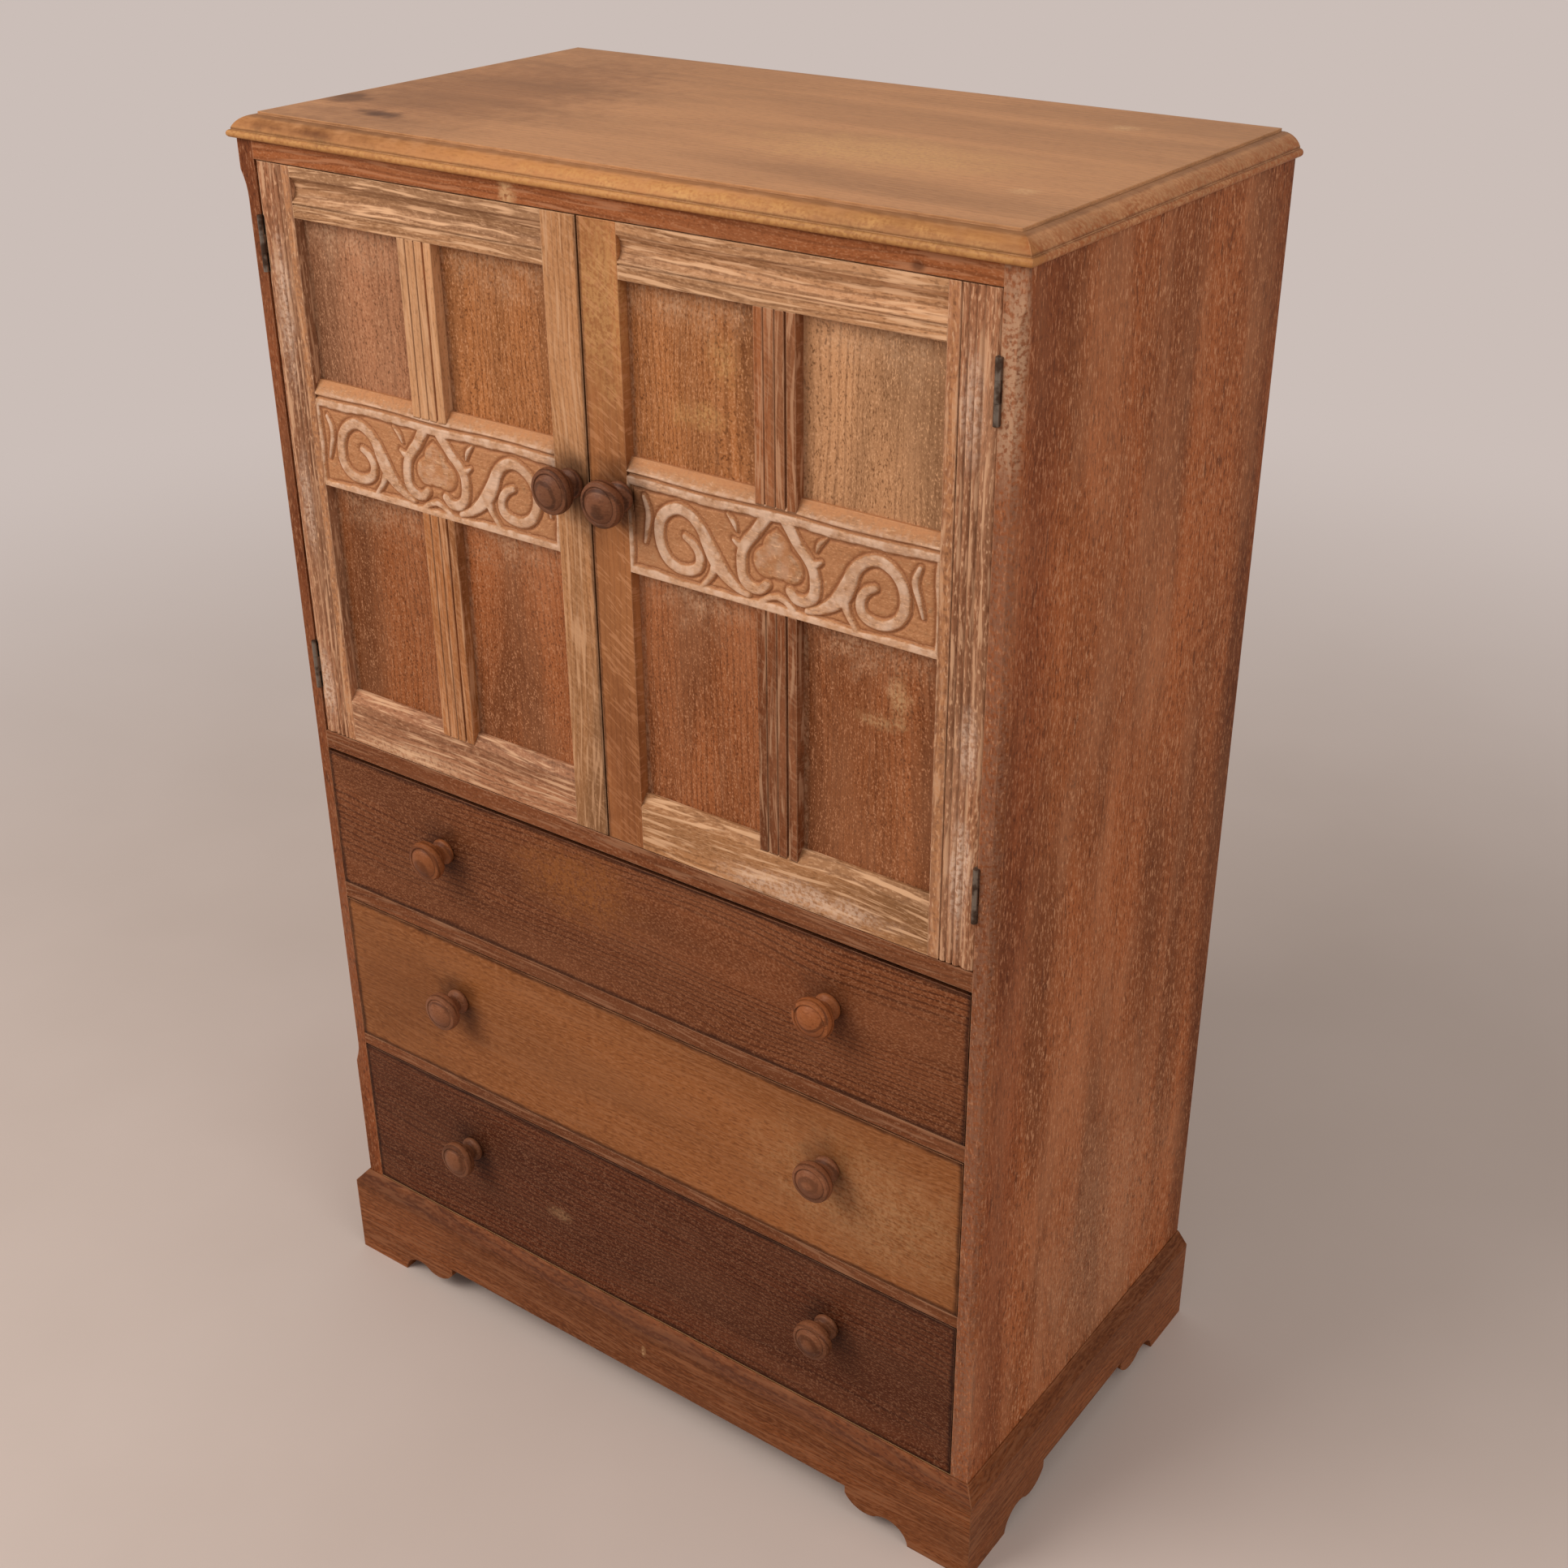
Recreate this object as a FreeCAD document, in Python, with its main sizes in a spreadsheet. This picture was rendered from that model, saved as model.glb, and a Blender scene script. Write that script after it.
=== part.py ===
import FreeCAD, Part
import math
import operator
import os
import types

import Sketcher

# Linen press: a two-door cupboard over three drawers, standing on a plinth with bracket feet.
# The frame has +Z up and the front towards -Y. The origin lies on the floor, in the middle of the box.

# Driving dimensions in millimetres.
DIMENSIONS = {
    # Case
    "overall_height": 1220,
    "case_width": 762,
    "case_depth": 420,
    "side_thickness": 18,
    "bottom_opening": 176,
    "lower_rail_thickness": 12.5,
    "middle_opening": 168,
    "upper_rail_thickness": 16.5,
    "top_opening": 152,
    "floor_thickness": 18,
    "top_rail_height": 16,
    "top_rail_depth": 18,
    "rail_depth": 60,
    "tenon_setback": 8,
    "housing_depth": 7,
    "back_thickness": 6,
    "back_rebate": 8,
    "runner_width": 18,
    "runner_height": 12,
    "shelf_thickness": 16,
    "shelf_height": 250,
    "shelf_setback": 2,
    "chamfer_leg": 6,
    "chamfer_top_stop": 50,
    "chamfer_bottom_stop": 195,
    "chamfer_runout_radius": 70,
    # Top board
    "top_thickness": 20,
    "top_overhang": 6,
    "top_edge_inset": 20,
    "top_quirk": 2.2,
    "ovolo_sag": 3,
    "nose_height": 6.5,
    "nose_projection": 3.2,
    "nose_quirk": 1.4,
    # Plinth
    "plinth_height": 105,
    "ledge_drop": 25,
    "plinth_projection": 12,
    "plinth_thickness": 22,
    "plinth_bevel": 13,
    "plinth_top_flat": 1.5,
    "foot_length": 66,
    "cusp_run": 38,
    "cusp_height": 15,
    "scroll_sag": 12.5,
    "lobe_run": 33,
    "lobe_rise": 11,
    "lobe_sag": 6.5,
    "apron_step": 8.5,
    # Doors
    "door_thickness": 20,
    "door_gap": 1,
    "meeting_gap": 2,
    "meeting_offset": 7,
    "hinge_stile_width": 41,
    "left_meeting_width": 35,
    "right_meeting_width": 38,
    "muntin_width": 37.5,
    "door_top_rail": 42.5,
    "door_bottom_rail": 51.5,
    "frieze_height": 95,
    "upper_panel_share": 0.4058,
    "panel_thickness": 6,
    "panel_recess": 10,
    "panel_play": 1,
    "groove_depth": 8,
    "door_tenon": 24,
    "tenon_shoulder": 6,
    "rail_bevel_height": 10,
    "rail_bevel_depth": 7,
    "bead_width": 12,
    "bead_depth": 2,
    "quirk_width": 1.2,
    "reed_width": 6,
    "flute_top": 9,
    "flute_width": 20,
    "flute_depth": 5,
    "scratch_width": 1.4,
    "scratch_depth": 1.2,
    "muntin_line_inset": 8,
    "muntin_line_pitch": 10,
    "muntin_line_depth": 0.8,
    "muntin_groove_inset": 27,
    "muntin_groove_width": 2.4,
    "muntin_groove_depth": 2.2,
    # Carved frieze
    "field_margin": 7,
    "field_sill": 6,
    "field_top_margin": 5,
    "field_depth": 4,
    "carving_height": 43,
    "scroll_spread": 90,
    "scroll_radius": 25,
    "eye_radius": 12,
    "scroll_tube": 3.4,
    "heart_spread": 22,
    "heart_radius": 14,
    "heart_height": 30,
    # Hinges
    "hinge_length": 48,
    "hinge_top_inset": 45,
    "hinge_bottom_inset": 46,
    "leaf_thickness": 2,
    "leaf_width": 15,
    "knuckle_radius": 2.4,
    "knuckle_clearance": 0.4,
    "pivot_standoff": 1.5,
    "pin_radius": 1.1,
    "pin_clearance": 0.05,
    # Drawers
    "drawer_depth": 395,
    "drawer_front_thickness": 18,
    "drawer_side_thickness": 10,
    "drawer_back_thickness": 10,
    "drawer_bottom_thickness": 5,
    "drawer_end_gap": 1,
    "top_drawer_gap": 3.5,
    "drawer_top_gap": 1.5,
    "drawer_bottom_gap": 1,
    "drawer_run_clearance": 0.4,
    "drawer_side_drop": 8,
    "drawer_lap": 6,
    "drawer_groove_depth": 5,
    "drawer_bottom_height": 10,
    "drawer_back_housing": 4,
    # Knobs
    "knob_projection": 34,
    "knob_face_rise": 6,
    "knob_head_radius": 19.5,
    "knob_ring_width": 3,
    "knob_ring_rise": 1,
    "knob_quirk": 0.7,
    "knob_rim_height": 9,
    "knob_rim_bow": 1,
    "knob_neck_radius": 8.5,
    "knob_neck_start": 7.5,
    "knob_flare_sag": 2.5,
    "knob_collar_radius": 11.5,
    "knob_collar_height": 5,
    "knob_collar_bow": 1.2,
    "knob_spigot_radius": 3.5,
    "knob_spigot_length": 9,
    "spigot_clearance": 0.05,
    "door_knob_rise": 63.5,
    "left_knob_inset": 18,
    "right_knob_inset": 32,
    "drawer_knob_left_inset": 147,
    "drawer_knob_right_inset": 135,
    "top_knob_rise": 11,
    "middle_knob_rise": 16,
    "bottom_knob_rise": 18,
}

REED_COUNT = 3
MUNTIN_LINE_COUNT = 2
DIAGONAL = math.sqrt(0.5)
OVERCUT = 1
SAME_POINT = 1e-6

OPERATIONS = {"+": operator.add, "-": operator.sub, "*": operator.mul, "/": operator.truediv}

doc = FreeCAD.newDocument("linen_press")
subparts = []


class Size:
    """A length that carries its value and the spreadsheet expression that gives it."""

    def __init__(self, value, text):
        self.value = value
        self.text = text

    def __add__(self, other):
        return combined(self, "+", other)

    def __radd__(self, other):
        return combined(other, "+", self)

    def __sub__(self, other):
        return combined(self, "-", other)

    def __rsub__(self, other):
        return combined(other, "-", self)

    def __mul__(self, other):
        return combined(self, "*", other)

    def __truediv__(self, other):
        return combined(self, "/", other)

    def __neg__(self):
        return combined(0, "-", self)


def as_size(length):
    """A Size from a Size or a plain number."""
    if isinstance(length, Size):
        return length
    return Size(length, str(length))


def combined(first, sign, second):
    """The Size of an operation on two lengths."""
    one = as_size(first)
    two = as_size(second)
    return Size(OPERATIONS[sign](one.value, two.value), f"({one.text} {sign} {two.text})")


def write_sheet():
    """Fill the spreadsheet with the driving dimensions and return them as Sizes."""
    sheet = doc.addObject("Spreadsheet::Sheet", "dims")
    sizes = {}
    for row, (alias, value) in enumerate(DIMENSIONS.items(), start=1):
        sheet.set(f"A{row}", alias)
        sheet.set(f"B{row}", str(value))
        sheet.setAlias(f"B{row}", alias)
        sizes[alias] = Size(value, f"dims.{alias}")
    doc.recompute()
    return types.SimpleNamespace(**sizes)


d = write_sheet()


# Levels and planes of the whole piece
front = (d.knob_projection - d.case_depth) / 2
inner = d.case_width / 2 - d.side_thickness
inside_width = d.case_width - d.side_thickness * 2
back_face = d.case_depth - d.back_thickness
ledge_level = d.plinth_height - d.ledge_drop
lower_rail_level = d.plinth_height + d.bottom_opening
middle_level = lower_rail_level + d.lower_rail_thickness
upper_rail_level = middle_level + d.middle_opening
top_drawer_level = upper_rail_level + d.upper_rail_thickness
floor_level = top_drawer_level + d.top_opening
cupboard_level = floor_level + d.floor_thickness
top_level = d.overall_height - d.top_thickness
top_rail_level = top_level - d.top_rail_height

# Sizes that the doors and their hinges share
door_height = top_rail_level - cupboard_level - d.door_gap * 2
panels_height = door_height - d.door_top_rail - d.frieze_height - d.door_bottom_rail
frieze_level = d.door_bottom_rail + panels_height * (1 - d.upper_panel_share)
door_knob_level = frieze_level + d.door_knob_rise
leaf_start = d.knuckle_radius + d.knuckle_clearance - d.pivot_standoff
knuckle_reach = d.knuckle_radius + d.knuckle_clearance - d.door_gap / 2
hinge_levels = (d.hinge_bottom_inset, door_height - d.hinge_top_inset - d.hinge_length)


def bind(obj, prop, length):
    """Tie a property to a length's expression."""
    obj.setExpression(prop, as_size(length).text)


def place(obj, at):
    """Tie an object's position to three lengths."""
    for axis, length in zip("xyz", at):
        bind(obj, f"Placement.Base.{axis}", length)


def box(name, at, size):
    """A block with its low corner at a point and its lengths along X, Y and Z."""
    block = doc.addObject("Part::Box", name)
    for prop, length in zip(("Length", "Width", "Height"), size):
        bind(block, prop, length)
    place(block, at)
    return block


def rod(name, at, direction, radius, length):
    """A cylinder from a point along a direction."""
    cylinder = doc.addObject("Part::Cylinder", name)
    bind(cylinder, "Radius", radius)
    bind(cylinder, "Height", length)
    turn = FreeCAD.Rotation(FreeCAD.Vector(0, 0, 1), FreeCAD.Vector(*direction))
    cylinder.Placement = FreeCAD.Placement(FreeCAD.Vector(), turn)
    place(cylinder, at)
    return cylinder


def ring(name, at, radius, tube):
    """A torus that lies flat against the front."""
    torus = doc.addObject("Part::Torus", name)
    bind(torus, "Radius1", radius)
    bind(torus, "Radius2", tube)
    turn = FreeCAD.Rotation(FreeCAD.Vector(1, 0, 0), 90)
    torus.Placement = FreeCAD.Placement(FreeCAD.Vector(), turn)
    place(torus, at)
    return torus


def fused(name, pieces):
    """One object from several pieces."""
    if len(pieces) == 1:
        return pieces[0]
    union = doc.addObject("Part::MultiFuse", name)
    union.Shapes = pieces
    return union


def cut(name, base, tools):
    """A piece with tools cut out of it."""
    result = doc.addObject("Part::Cut", name)
    result.Base = base
    result.Tool = fused(f"{name}_tools", tools)
    return result


def common(name, first, second):
    """What two pieces share."""
    result = doc.addObject("Part::Common", name)
    result.Base = first
    result.Tool = second
    return result


def group(name, pieces):
    """Several separate solids in one node."""
    compound = doc.addObject("Part::Compound", name)
    compound.Links = pieces
    return compound


def subpart(obj, label, at=None):
    """Name a finished sub-part and put it in its place."""
    obj.Label = label
    if at is not None:
        place(obj, at)
    subparts.append(obj)
    return obj


def draw(sketch, points):
    """A closed outline. A third value in a point bows the edge that leaves it, by that sag,
    to the outside of an outline that runs counter-clockwise."""
    count = len(points)
    corners = [FreeCAD.Vector(as_size(p[0]).value, as_size(p[1]).value, 0) for p in points]
    starts = []
    ends = []
    for index, point in enumerate(points):
        start = corners[index]
        end = corners[(index + 1) % count]
        if len(point) == 2:
            sketch.addGeometry(Part.LineSegment(start, end), False)
        else:
            along = (end - start).normalize()
            outward = FreeCAD.Vector(along.y, -along.x, 0)
            sag = as_size(point[2]).value
            middle = (start + end) * 0.5 + outward * sag
            arc = Part.Arc(start, middle, end) if sag > 0 else Part.Arc(end, middle, start)
            sketch.addGeometry(arc, False)
        runs_forward = sketch.Geometry[index].StartPoint.distanceToPoint(start) < SAME_POINT
        starts.append(1 if runs_forward else 2)
        ends.append(2 if runs_forward else 1)
    for index in range(count):
        follower = (index + 1) % count
        joined = (index, ends[index], follower, starts[follower])
        sketch.addConstraint(Sketcher.Constraint("Coincident", *joined))
    for index, point in enumerate(points):
        for kind, length in zip(("DistanceX", "DistanceY"), point):
            fix(sketch, (kind, -1, 1, index, starts[index]), as_size(length))
        if len(point) == 3:
            fix(sketch, ("Radius", index), bow_radius(point, points[(index + 1) % count]))


def fix(sketch, constraint, length):
    """Add a dimension to a sketch and tie it to a length."""
    number = sketch.addConstraint(Sketcher.Constraint(*constraint, length.value))
    sketch.setExpression(f"Constraints[{number}]", length.text)


def root(length):
    """The square root of a Size."""
    return Size(math.sqrt(length.value), f"sqrt({length.text})")


def dome_sag(radius, rise):
    """The sag of half a dome's section, from its edge to its crown on the axis."""
    curve = (radius * radius + rise * rise) / (rise * 2)
    return curve - root(curve * curve - curve * rise / 2)


def bow_radius(point, follower):
    """The radius of an arc from the chord between two points and its sag."""
    across = as_size(follower[0]) - point[0]
    rise = as_size(follower[1]) - point[1]
    sag = as_size(point[2])
    if sag.value < 0:
        sag = -sag
    return ((across * across + rise * rise) / 4 + sag * sag) / (sag * 2)


# For each drawing plane: the turn of its sketch, the axis that it is extruded along, and that direction.
PLANES = {
    "XY": (FreeCAD.Rotation(), "z", (0, 0, 1)),
    "XZ": (FreeCAD.Rotation(FreeCAD.Vector(1, 0, 0), 90), "y", (0, 1, 0)),
    "YZ": (FreeCAD.Rotation(FreeCAD.Vector(1, 1, 1), 120), "x", (1, 0, 0)),
}


def extrusion(name, plane, points, length, start=0):
    """A profile drawn in a plane and drawn out along that plane's axis."""
    turn, axis, direction = PLANES[plane]
    sketch = doc.addObject("Sketcher::SketchObject", f"{name}_profile")
    sketch.Placement = FreeCAD.Placement(FreeCAD.Vector(), turn)
    bind(sketch, f"Placement.Base.{axis}", start)
    draw(sketch, points)
    solid = doc.addObject("Part::Extrusion", name)
    solid.Base = sketch
    solid.DirMode = "Custom"
    solid.Dir = FreeCAD.Vector(*direction)
    bind(solid, "LengthFwd", length)
    solid.Solid = True
    return solid


def handed(hand, x, length):
    """The low X of a span that starts x from an edge and runs towards +X (hand 1) or -X (hand -1)."""
    if hand > 0:
        return as_size(x)
    return -(as_size(x) + length)


def handed_box(hand, name, at, size):
    """A block measured from an edge, mirrored for hand -1."""
    return box(name, (handed(hand, at[0], size[0]), at[1], at[2]), size)


def handed_points(hand, points):
    """An outline mirrored for hand -1, with its bows still to the outside."""
    if hand > 0:
        return points
    flipped = [(-as_size(p[0]), p[1]) for p in points]
    bows = [p[2:] for p in points]
    count = len(points)
    return [flipped[-1 - k] + bows[(-2 - k) % count] for k in range(count)]


# Carcase


def case_side(label, hand):
    """A solid side, housed for the shelf and rails, with a stopped chamfer on its front corner."""
    height = top_level - ledge_level
    blank = handed_box(hand, f"{label}_blank", (0, 0, 0), (d.side_thickness, d.case_depth, height))
    housing_start = d.side_thickness - d.housing_depth
    floor_run = back_face - d.tenon_setback
    rail_run = d.rail_depth - d.tenon_setback * 2
    top_run = d.top_rail_depth - d.tenon_setback
    shelf_front = d.door_thickness + d.shelf_setback
    housings = (
        ("bottom", d.tenon_setback, ledge_level, rail_run, d.ledge_drop),
        ("lower", d.tenon_setback, lower_rail_level, rail_run, d.lower_rail_thickness),
        ("upper", d.tenon_setback, upper_rail_level, rail_run, d.upper_rail_thickness),
        ("floor", d.tenon_setback, floor_level, floor_run, d.floor_thickness),
        ("shelf", shelf_front, cupboard_level + d.shelf_height, back_face - shelf_front, d.shelf_thickness),
        ("top", d.tenon_setback, top_rail_level, top_run, d.top_rail_height),
    )
    tools = []
    for name, y, level, run, rise in housings:
        at = (housing_start, y, level - ledge_level)
        tools.append(handed_box(hand, f"{label}_{name}_housing", at, (d.housing_depth, run, rise)))
    rebate_at = (d.side_thickness - d.back_rebate, back_face, 0)
    rebate_size = (d.back_rebate, d.back_thickness, height)
    tools.append(handed_box(hand, f"{label}_back_rebate", rebate_at, rebate_size))
    door_level = cupboard_level + d.door_gap - ledge_level
    notch_depth = knuckle_reach - d.door_gap / 2
    for level in hinge_levels:
        leaf_at = (d.side_thickness - d.leaf_thickness, 0, door_level + level)
        leaf_size = (d.leaf_thickness, d.leaf_width, d.hinge_length)
        tools.append(handed_box(hand, f"{label}_leaf_bed", leaf_at, leaf_size))
        notch_at = (d.side_thickness - notch_depth, 0, door_level + level)
        notch_size = (notch_depth, leaf_start, d.hinge_length)
        tools.append(handed_box(hand, f"{label}_knuckle_notch", notch_at, notch_size))
    tools.extend(chamfer_tools(label, hand, height))
    outer = d.case_width / 2
    x = -outer if hand > 0 else outer
    subpart(cut(label, blank, tools), label, (x, front, ledge_level))


def chamfer_tools(label, hand, height):
    """A prism along the front corner with round run-outs at both ends."""
    low = d.chamfer_bottom_stop
    high = height - d.chamfer_top_stop
    leg = d.chamfer_leg + OVERCUT
    corner = ((-OVERCUT, -OVERCUT), (leg, -OVERCUT), (-OVERCUT, leg))
    tools = [extrusion(f"{label}_chamfer", "XY", handed_points(hand, corner), high - low, low)]
    standoff = d.chamfer_runout_radius * DIAGONAL - d.chamfer_leg / 2
    reach = d.chamfer_leg * 2
    for level in (low, high):
        at = (-(standoff + reach) * hand, reach - standoff, level)
        length = reach * 2 / DIAGONAL
        direction = (hand, -1, 0)
        tools.append(rod(f"{label}_runout", at, direction, d.chamfer_runout_radius, length))
    return tools


def rail(label, level, thickness, depth, tenon_run):
    """A rail between the sides with a stub tenon on each end."""
    body = box(f"{label}_body", (0, 0, 0), (inside_width, depth, thickness))
    tenon_at = (-d.housing_depth, d.tenon_setback, 0)
    tenon_size = (inside_width + d.housing_depth * 2, tenon_run, thickness)
    tenon = box(f"{label}_tenon", tenon_at, tenon_size)
    subpart(fused(label, [body, tenon]), label, (-inner, front, level))


def shelf():
    """A shelf behind the doors, housed in both sides."""
    start = d.door_thickness + d.shelf_setback
    width = inside_width + d.housing_depth * 2
    at = (-(inner + d.housing_depth), front + start, cupboard_level + d.shelf_height)
    subpart(box("shelf_board", at, (width, back_face - start, d.shelf_thickness)), "shelf")


def runners():
    """A pair of strips behind each drawer rail, level with its top."""
    strips = []
    length = back_face - d.rail_depth
    for level in (d.plinth_height, middle_level, top_drawer_level):
        for x in (-inner, inner - d.runner_width):
            at = (x, front + d.rail_depth, level - d.runner_height)
            strips.append(box("runner", at, (d.runner_width, length, d.runner_height)))
    subpart(group("runner_group", strips), "drawer_runners")


def back_panel():
    """A thin back in rebates of the sides."""
    width = inside_width + d.back_rebate * 2
    at = (-width / 2, front + back_face, ledge_level)
    subpart(box("back_board", at, (width, d.back_thickness, top_level - ledge_level)), "back_panel")


def top_board():
    """The top, with an ovolo and a nosing worked on the front and both ends."""
    width = d.case_width + d.top_overhang * 2
    depth = d.case_depth + d.top_overhang
    above_quirk = d.nose_height + d.nose_quirk
    shoulder = d.top_thickness - d.top_quirk
    front_edge = [
        (depth, 0),
        (depth, d.top_thickness),
        (d.top_edge_inset, d.top_thickness),
        (d.top_edge_inset, shoulder, d.ovolo_sag),
        (d.nose_projection, above_quirk),
        (d.nose_projection, d.nose_height, d.nose_projection),
        (d.nose_projection, 0),
    ]
    both_ends = [
        (d.nose_projection, 0),
        (width - d.nose_projection, 0, d.nose_projection),
        (width - d.nose_projection, d.nose_height),
        (width - d.nose_projection, above_quirk, d.ovolo_sag),
        (width - d.top_edge_inset, shoulder),
        (width - d.top_edge_inset, d.top_thickness),
        (d.top_edge_inset, d.top_thickness),
        (d.top_edge_inset, shoulder, d.ovolo_sag),
        (d.nose_projection, above_quirk),
        (d.nose_projection, d.nose_height, d.nose_projection),
    ]
    along = extrusion("top_front_moulding", "YZ", front_edge, width)
    across = extrusion("top_end_moulding", "XZ", both_ends, depth)
    at = (-width / 2, front - d.top_overhang, top_level)
    subpart(common("top", along, across), "top_board", at)


# Plinth


def bracket(length):
    """The outline of a plinth board cut to a bracket foot at each end."""
    cusp = d.foot_length + d.cusp_run
    lobe = cusp + d.lobe_run
    lobe_top = d.cusp_height + d.lobe_rise
    apron = lobe_top + d.apron_step
    return [
        (0, 0),
        (d.foot_length, 0, -d.scroll_sag),
        (cusp, d.cusp_height, d.lobe_sag),
        (lobe, lobe_top),
        (lobe, apron),
        (length - lobe, apron),
        (length - lobe, lobe_top, d.lobe_sag),
        (length - cusp, d.cusp_height, -d.scroll_sag),
        (length - d.foot_length, 0),
        (length, 0),
        (length, d.plinth_height),
        (0, d.plinth_height),
    ]


def plinth_section():
    """A plinth board from its outer face inwards: bevelled on top, with a ledge for the case."""
    return [
        (0, 0),
        (d.plinth_thickness, 0),
        (d.plinth_thickness, ledge_level),
        (d.plinth_projection, ledge_level),
        (d.plinth_projection, d.plinth_height),
        (d.plinth_projection - d.plinth_top_flat, d.plinth_height),
        (0, d.plinth_height - d.plinth_bevel),
    ]


def plinth_front():
    """The front board, mitred at both ends."""
    length = d.case_width + d.plinth_projection * 2
    mitred = [
        (0, 0),
        (length, 0),
        (length - d.plinth_thickness, d.plinth_thickness),
        (d.plinth_thickness, d.plinth_thickness),
    ]
    section = extrusion("plinth_front_section", "YZ", plinth_section(), length)
    feet = extrusion("plinth_front_feet", "XZ", bracket(length), d.plinth_thickness)
    ends = extrusion("plinth_front_mitres", "XY", mitred, d.plinth_height)
    shaped = common("plinth_front_shaped", section, feet)
    at = (-length / 2, front - d.plinth_projection, 0)
    subpart(common("plinth_front_board", shaped, ends), "plinth_front", at)


def plinth_end(label, hand):
    """A side board, mitred to the front board and square at the back."""
    length = d.case_depth + d.plinth_projection
    mitred = [(0, 0), (d.plinth_thickness, d.plinth_thickness), (d.plinth_thickness, length), (0, length)]
    section = extrusion(f"{label}_section", "XZ", handed_points(hand, plinth_section()), length)
    start = handed(hand, 0, d.plinth_thickness)
    feet = extrusion(f"{label}_feet", "YZ", bracket(length), d.plinth_thickness, start)
    ends = extrusion(f"{label}_mitre", "XY", handed_points(hand, mitred), d.plinth_height)
    shaped = common(f"{label}_shaped", section, feet)
    outer = d.case_width / 2 + d.plinth_projection
    x = -outer if hand > 0 else outer
    subpart(common(f"{label}_board", shaped, ends), label, (x, front - d.plinth_projection, 0))


# Hinges


def hinge_leaf(name, hand, level, plate_x, tab_levels, tab_length):
    """A leaf with the knuckles that it carries, measured from the door's hinge edge and face."""
    pivot = (-d.door_gap / 2 * hand, -d.pivot_standoff)
    plate_at = (plate_x, leaf_start, level)
    plate_size = (d.leaf_thickness, d.leaf_width - leaf_start, d.hinge_length)
    pieces = [handed_box(hand, f"{name}_plate", plate_at, plate_size)]
    for tab_level in tab_levels:
        tab_at = (plate_x, -d.pivot_standoff, level + tab_level)
        tab_size = (d.leaf_thickness, leaf_start + d.pivot_standoff, tab_length)
        pieces.append(handed_box(hand, f"{name}_tab", tab_at, tab_size))
        knuckle_at = (pivot[0], pivot[1], level + tab_level)
        pieces.append(rod(f"{name}_knuckle", knuckle_at, (0, 0, 1), d.knuckle_radius, tab_length))
    return pieces, pivot


def door_leaf(name, hand, level):
    """The leaf on the door, with the middle knuckle bored for the pin."""
    third = d.hinge_length / 3
    tab_length = third - d.knuckle_clearance
    tab_levels = (third + d.knuckle_clearance / 2,)
    pieces, pivot = hinge_leaf(name, hand, level, 0, tab_levels, tab_length)
    bore_at = (pivot[0], pivot[1], level)
    bore = rod(f"{name}_bore", bore_at, (0, 0, 1), d.pin_radius + d.pin_clearance, d.hinge_length)
    return cut(f"{name}_leaf", fused(f"{name}_solid", pieces), [bore])


def case_leaf(name, hand, level):
    """The leaf on the case, with the outer knuckles and the pin fixed in them."""
    third = d.hinge_length / 3
    plate_x = -(d.door_gap + d.leaf_thickness)
    pieces, pivot = hinge_leaf(name, hand, level, plate_x, (0, third * 2), third)
    pin_at = (pivot[0], pivot[1], level)
    pieces.append(rod(f"{name}_pin", pin_at, (0, 0, 1), d.pin_radius, d.hinge_length))
    return fused(f"{name}_leaf", pieces)


def case_leaves():
    """The four leaves on the case, each put where its door hangs."""
    leaves = []
    for hand in (1, -1):
        x, z = door_corner(hand)
        for level in hinge_levels:
            leaf = case_leaf("case", hand, level)
            place(leaf, (x, front, z))
            leaves.append(leaf)
    subpart(group("case_leaf_group", leaves), "hinge_case_leaves")


# Doors


def door_corner(hand):
    """The hinge edge and the lower edge of a door."""
    edge = inner - d.door_gap
    x = -edge if hand > 0 else edge
    return x, cupboard_level + d.door_gap


def hinge_stile(label, hand, at):
    """The outer stile, beaded and reeded down its face, grooved and mortised on its inner edge."""
    width = d.hinge_stile_width
    reeds_start = d.bead_width + d.quirk_width
    profile = [(0, d.door_thickness), (0, d.bead_depth, d.bead_depth), (d.bead_width, d.bead_depth)]
    for number in range(REED_COUNT):
        profile.append((reeds_start + d.reed_width * number, d.bead_depth, d.bead_depth))
    reeds_end = reeds_start + d.reed_width * REED_COUNT
    profile += [(reeds_end, d.bead_depth), (reeds_end, 0), (width, 0), (width, d.door_thickness)]
    blank = extrusion(f"{label}_blank", "XY", handed_points(hand, profile), door_height)
    tools = stile_joints(label, hand, width - d.groove_depth, width - d.door_tenon)
    for level in hinge_levels:
        bed_size = (d.leaf_thickness, d.leaf_width, d.hinge_length)
        tools.append(handed_box(hand, f"{label}_leaf_bed", (0, 0, level), bed_size))
        notch_size = (knuckle_reach, leaf_start, d.hinge_length)
        tools.append(handed_box(hand, f"{label}_knuckle_notch", (0, 0, level), notch_size))
    subpart(cut(label, blank, tools), label, at)


def stile_joints(label, hand, groove_x, mortise_x):
    """The panel groove and the three mortises of a stile."""
    groove_low = d.door_bottom_rail - d.groove_depth
    groove_length = door_height - d.door_top_rail - d.door_bottom_rail + d.groove_depth * 2
    groove_size = (d.groove_depth, d.panel_thickness, groove_length)
    tools = [handed_box(hand, f"{label}_groove", (groove_x, d.panel_recess, groove_low), groove_size)]
    for name, level, (low, high) in rail_tenons():
        mortise_at = (mortise_x, d.panel_recess, level + low)
        mortise_size = (d.door_tenon, d.panel_thickness, high - low)
        tools.append(handed_box(hand, f"{label}_{name}_mortise", mortise_at, mortise_size))
    return tools


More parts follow.
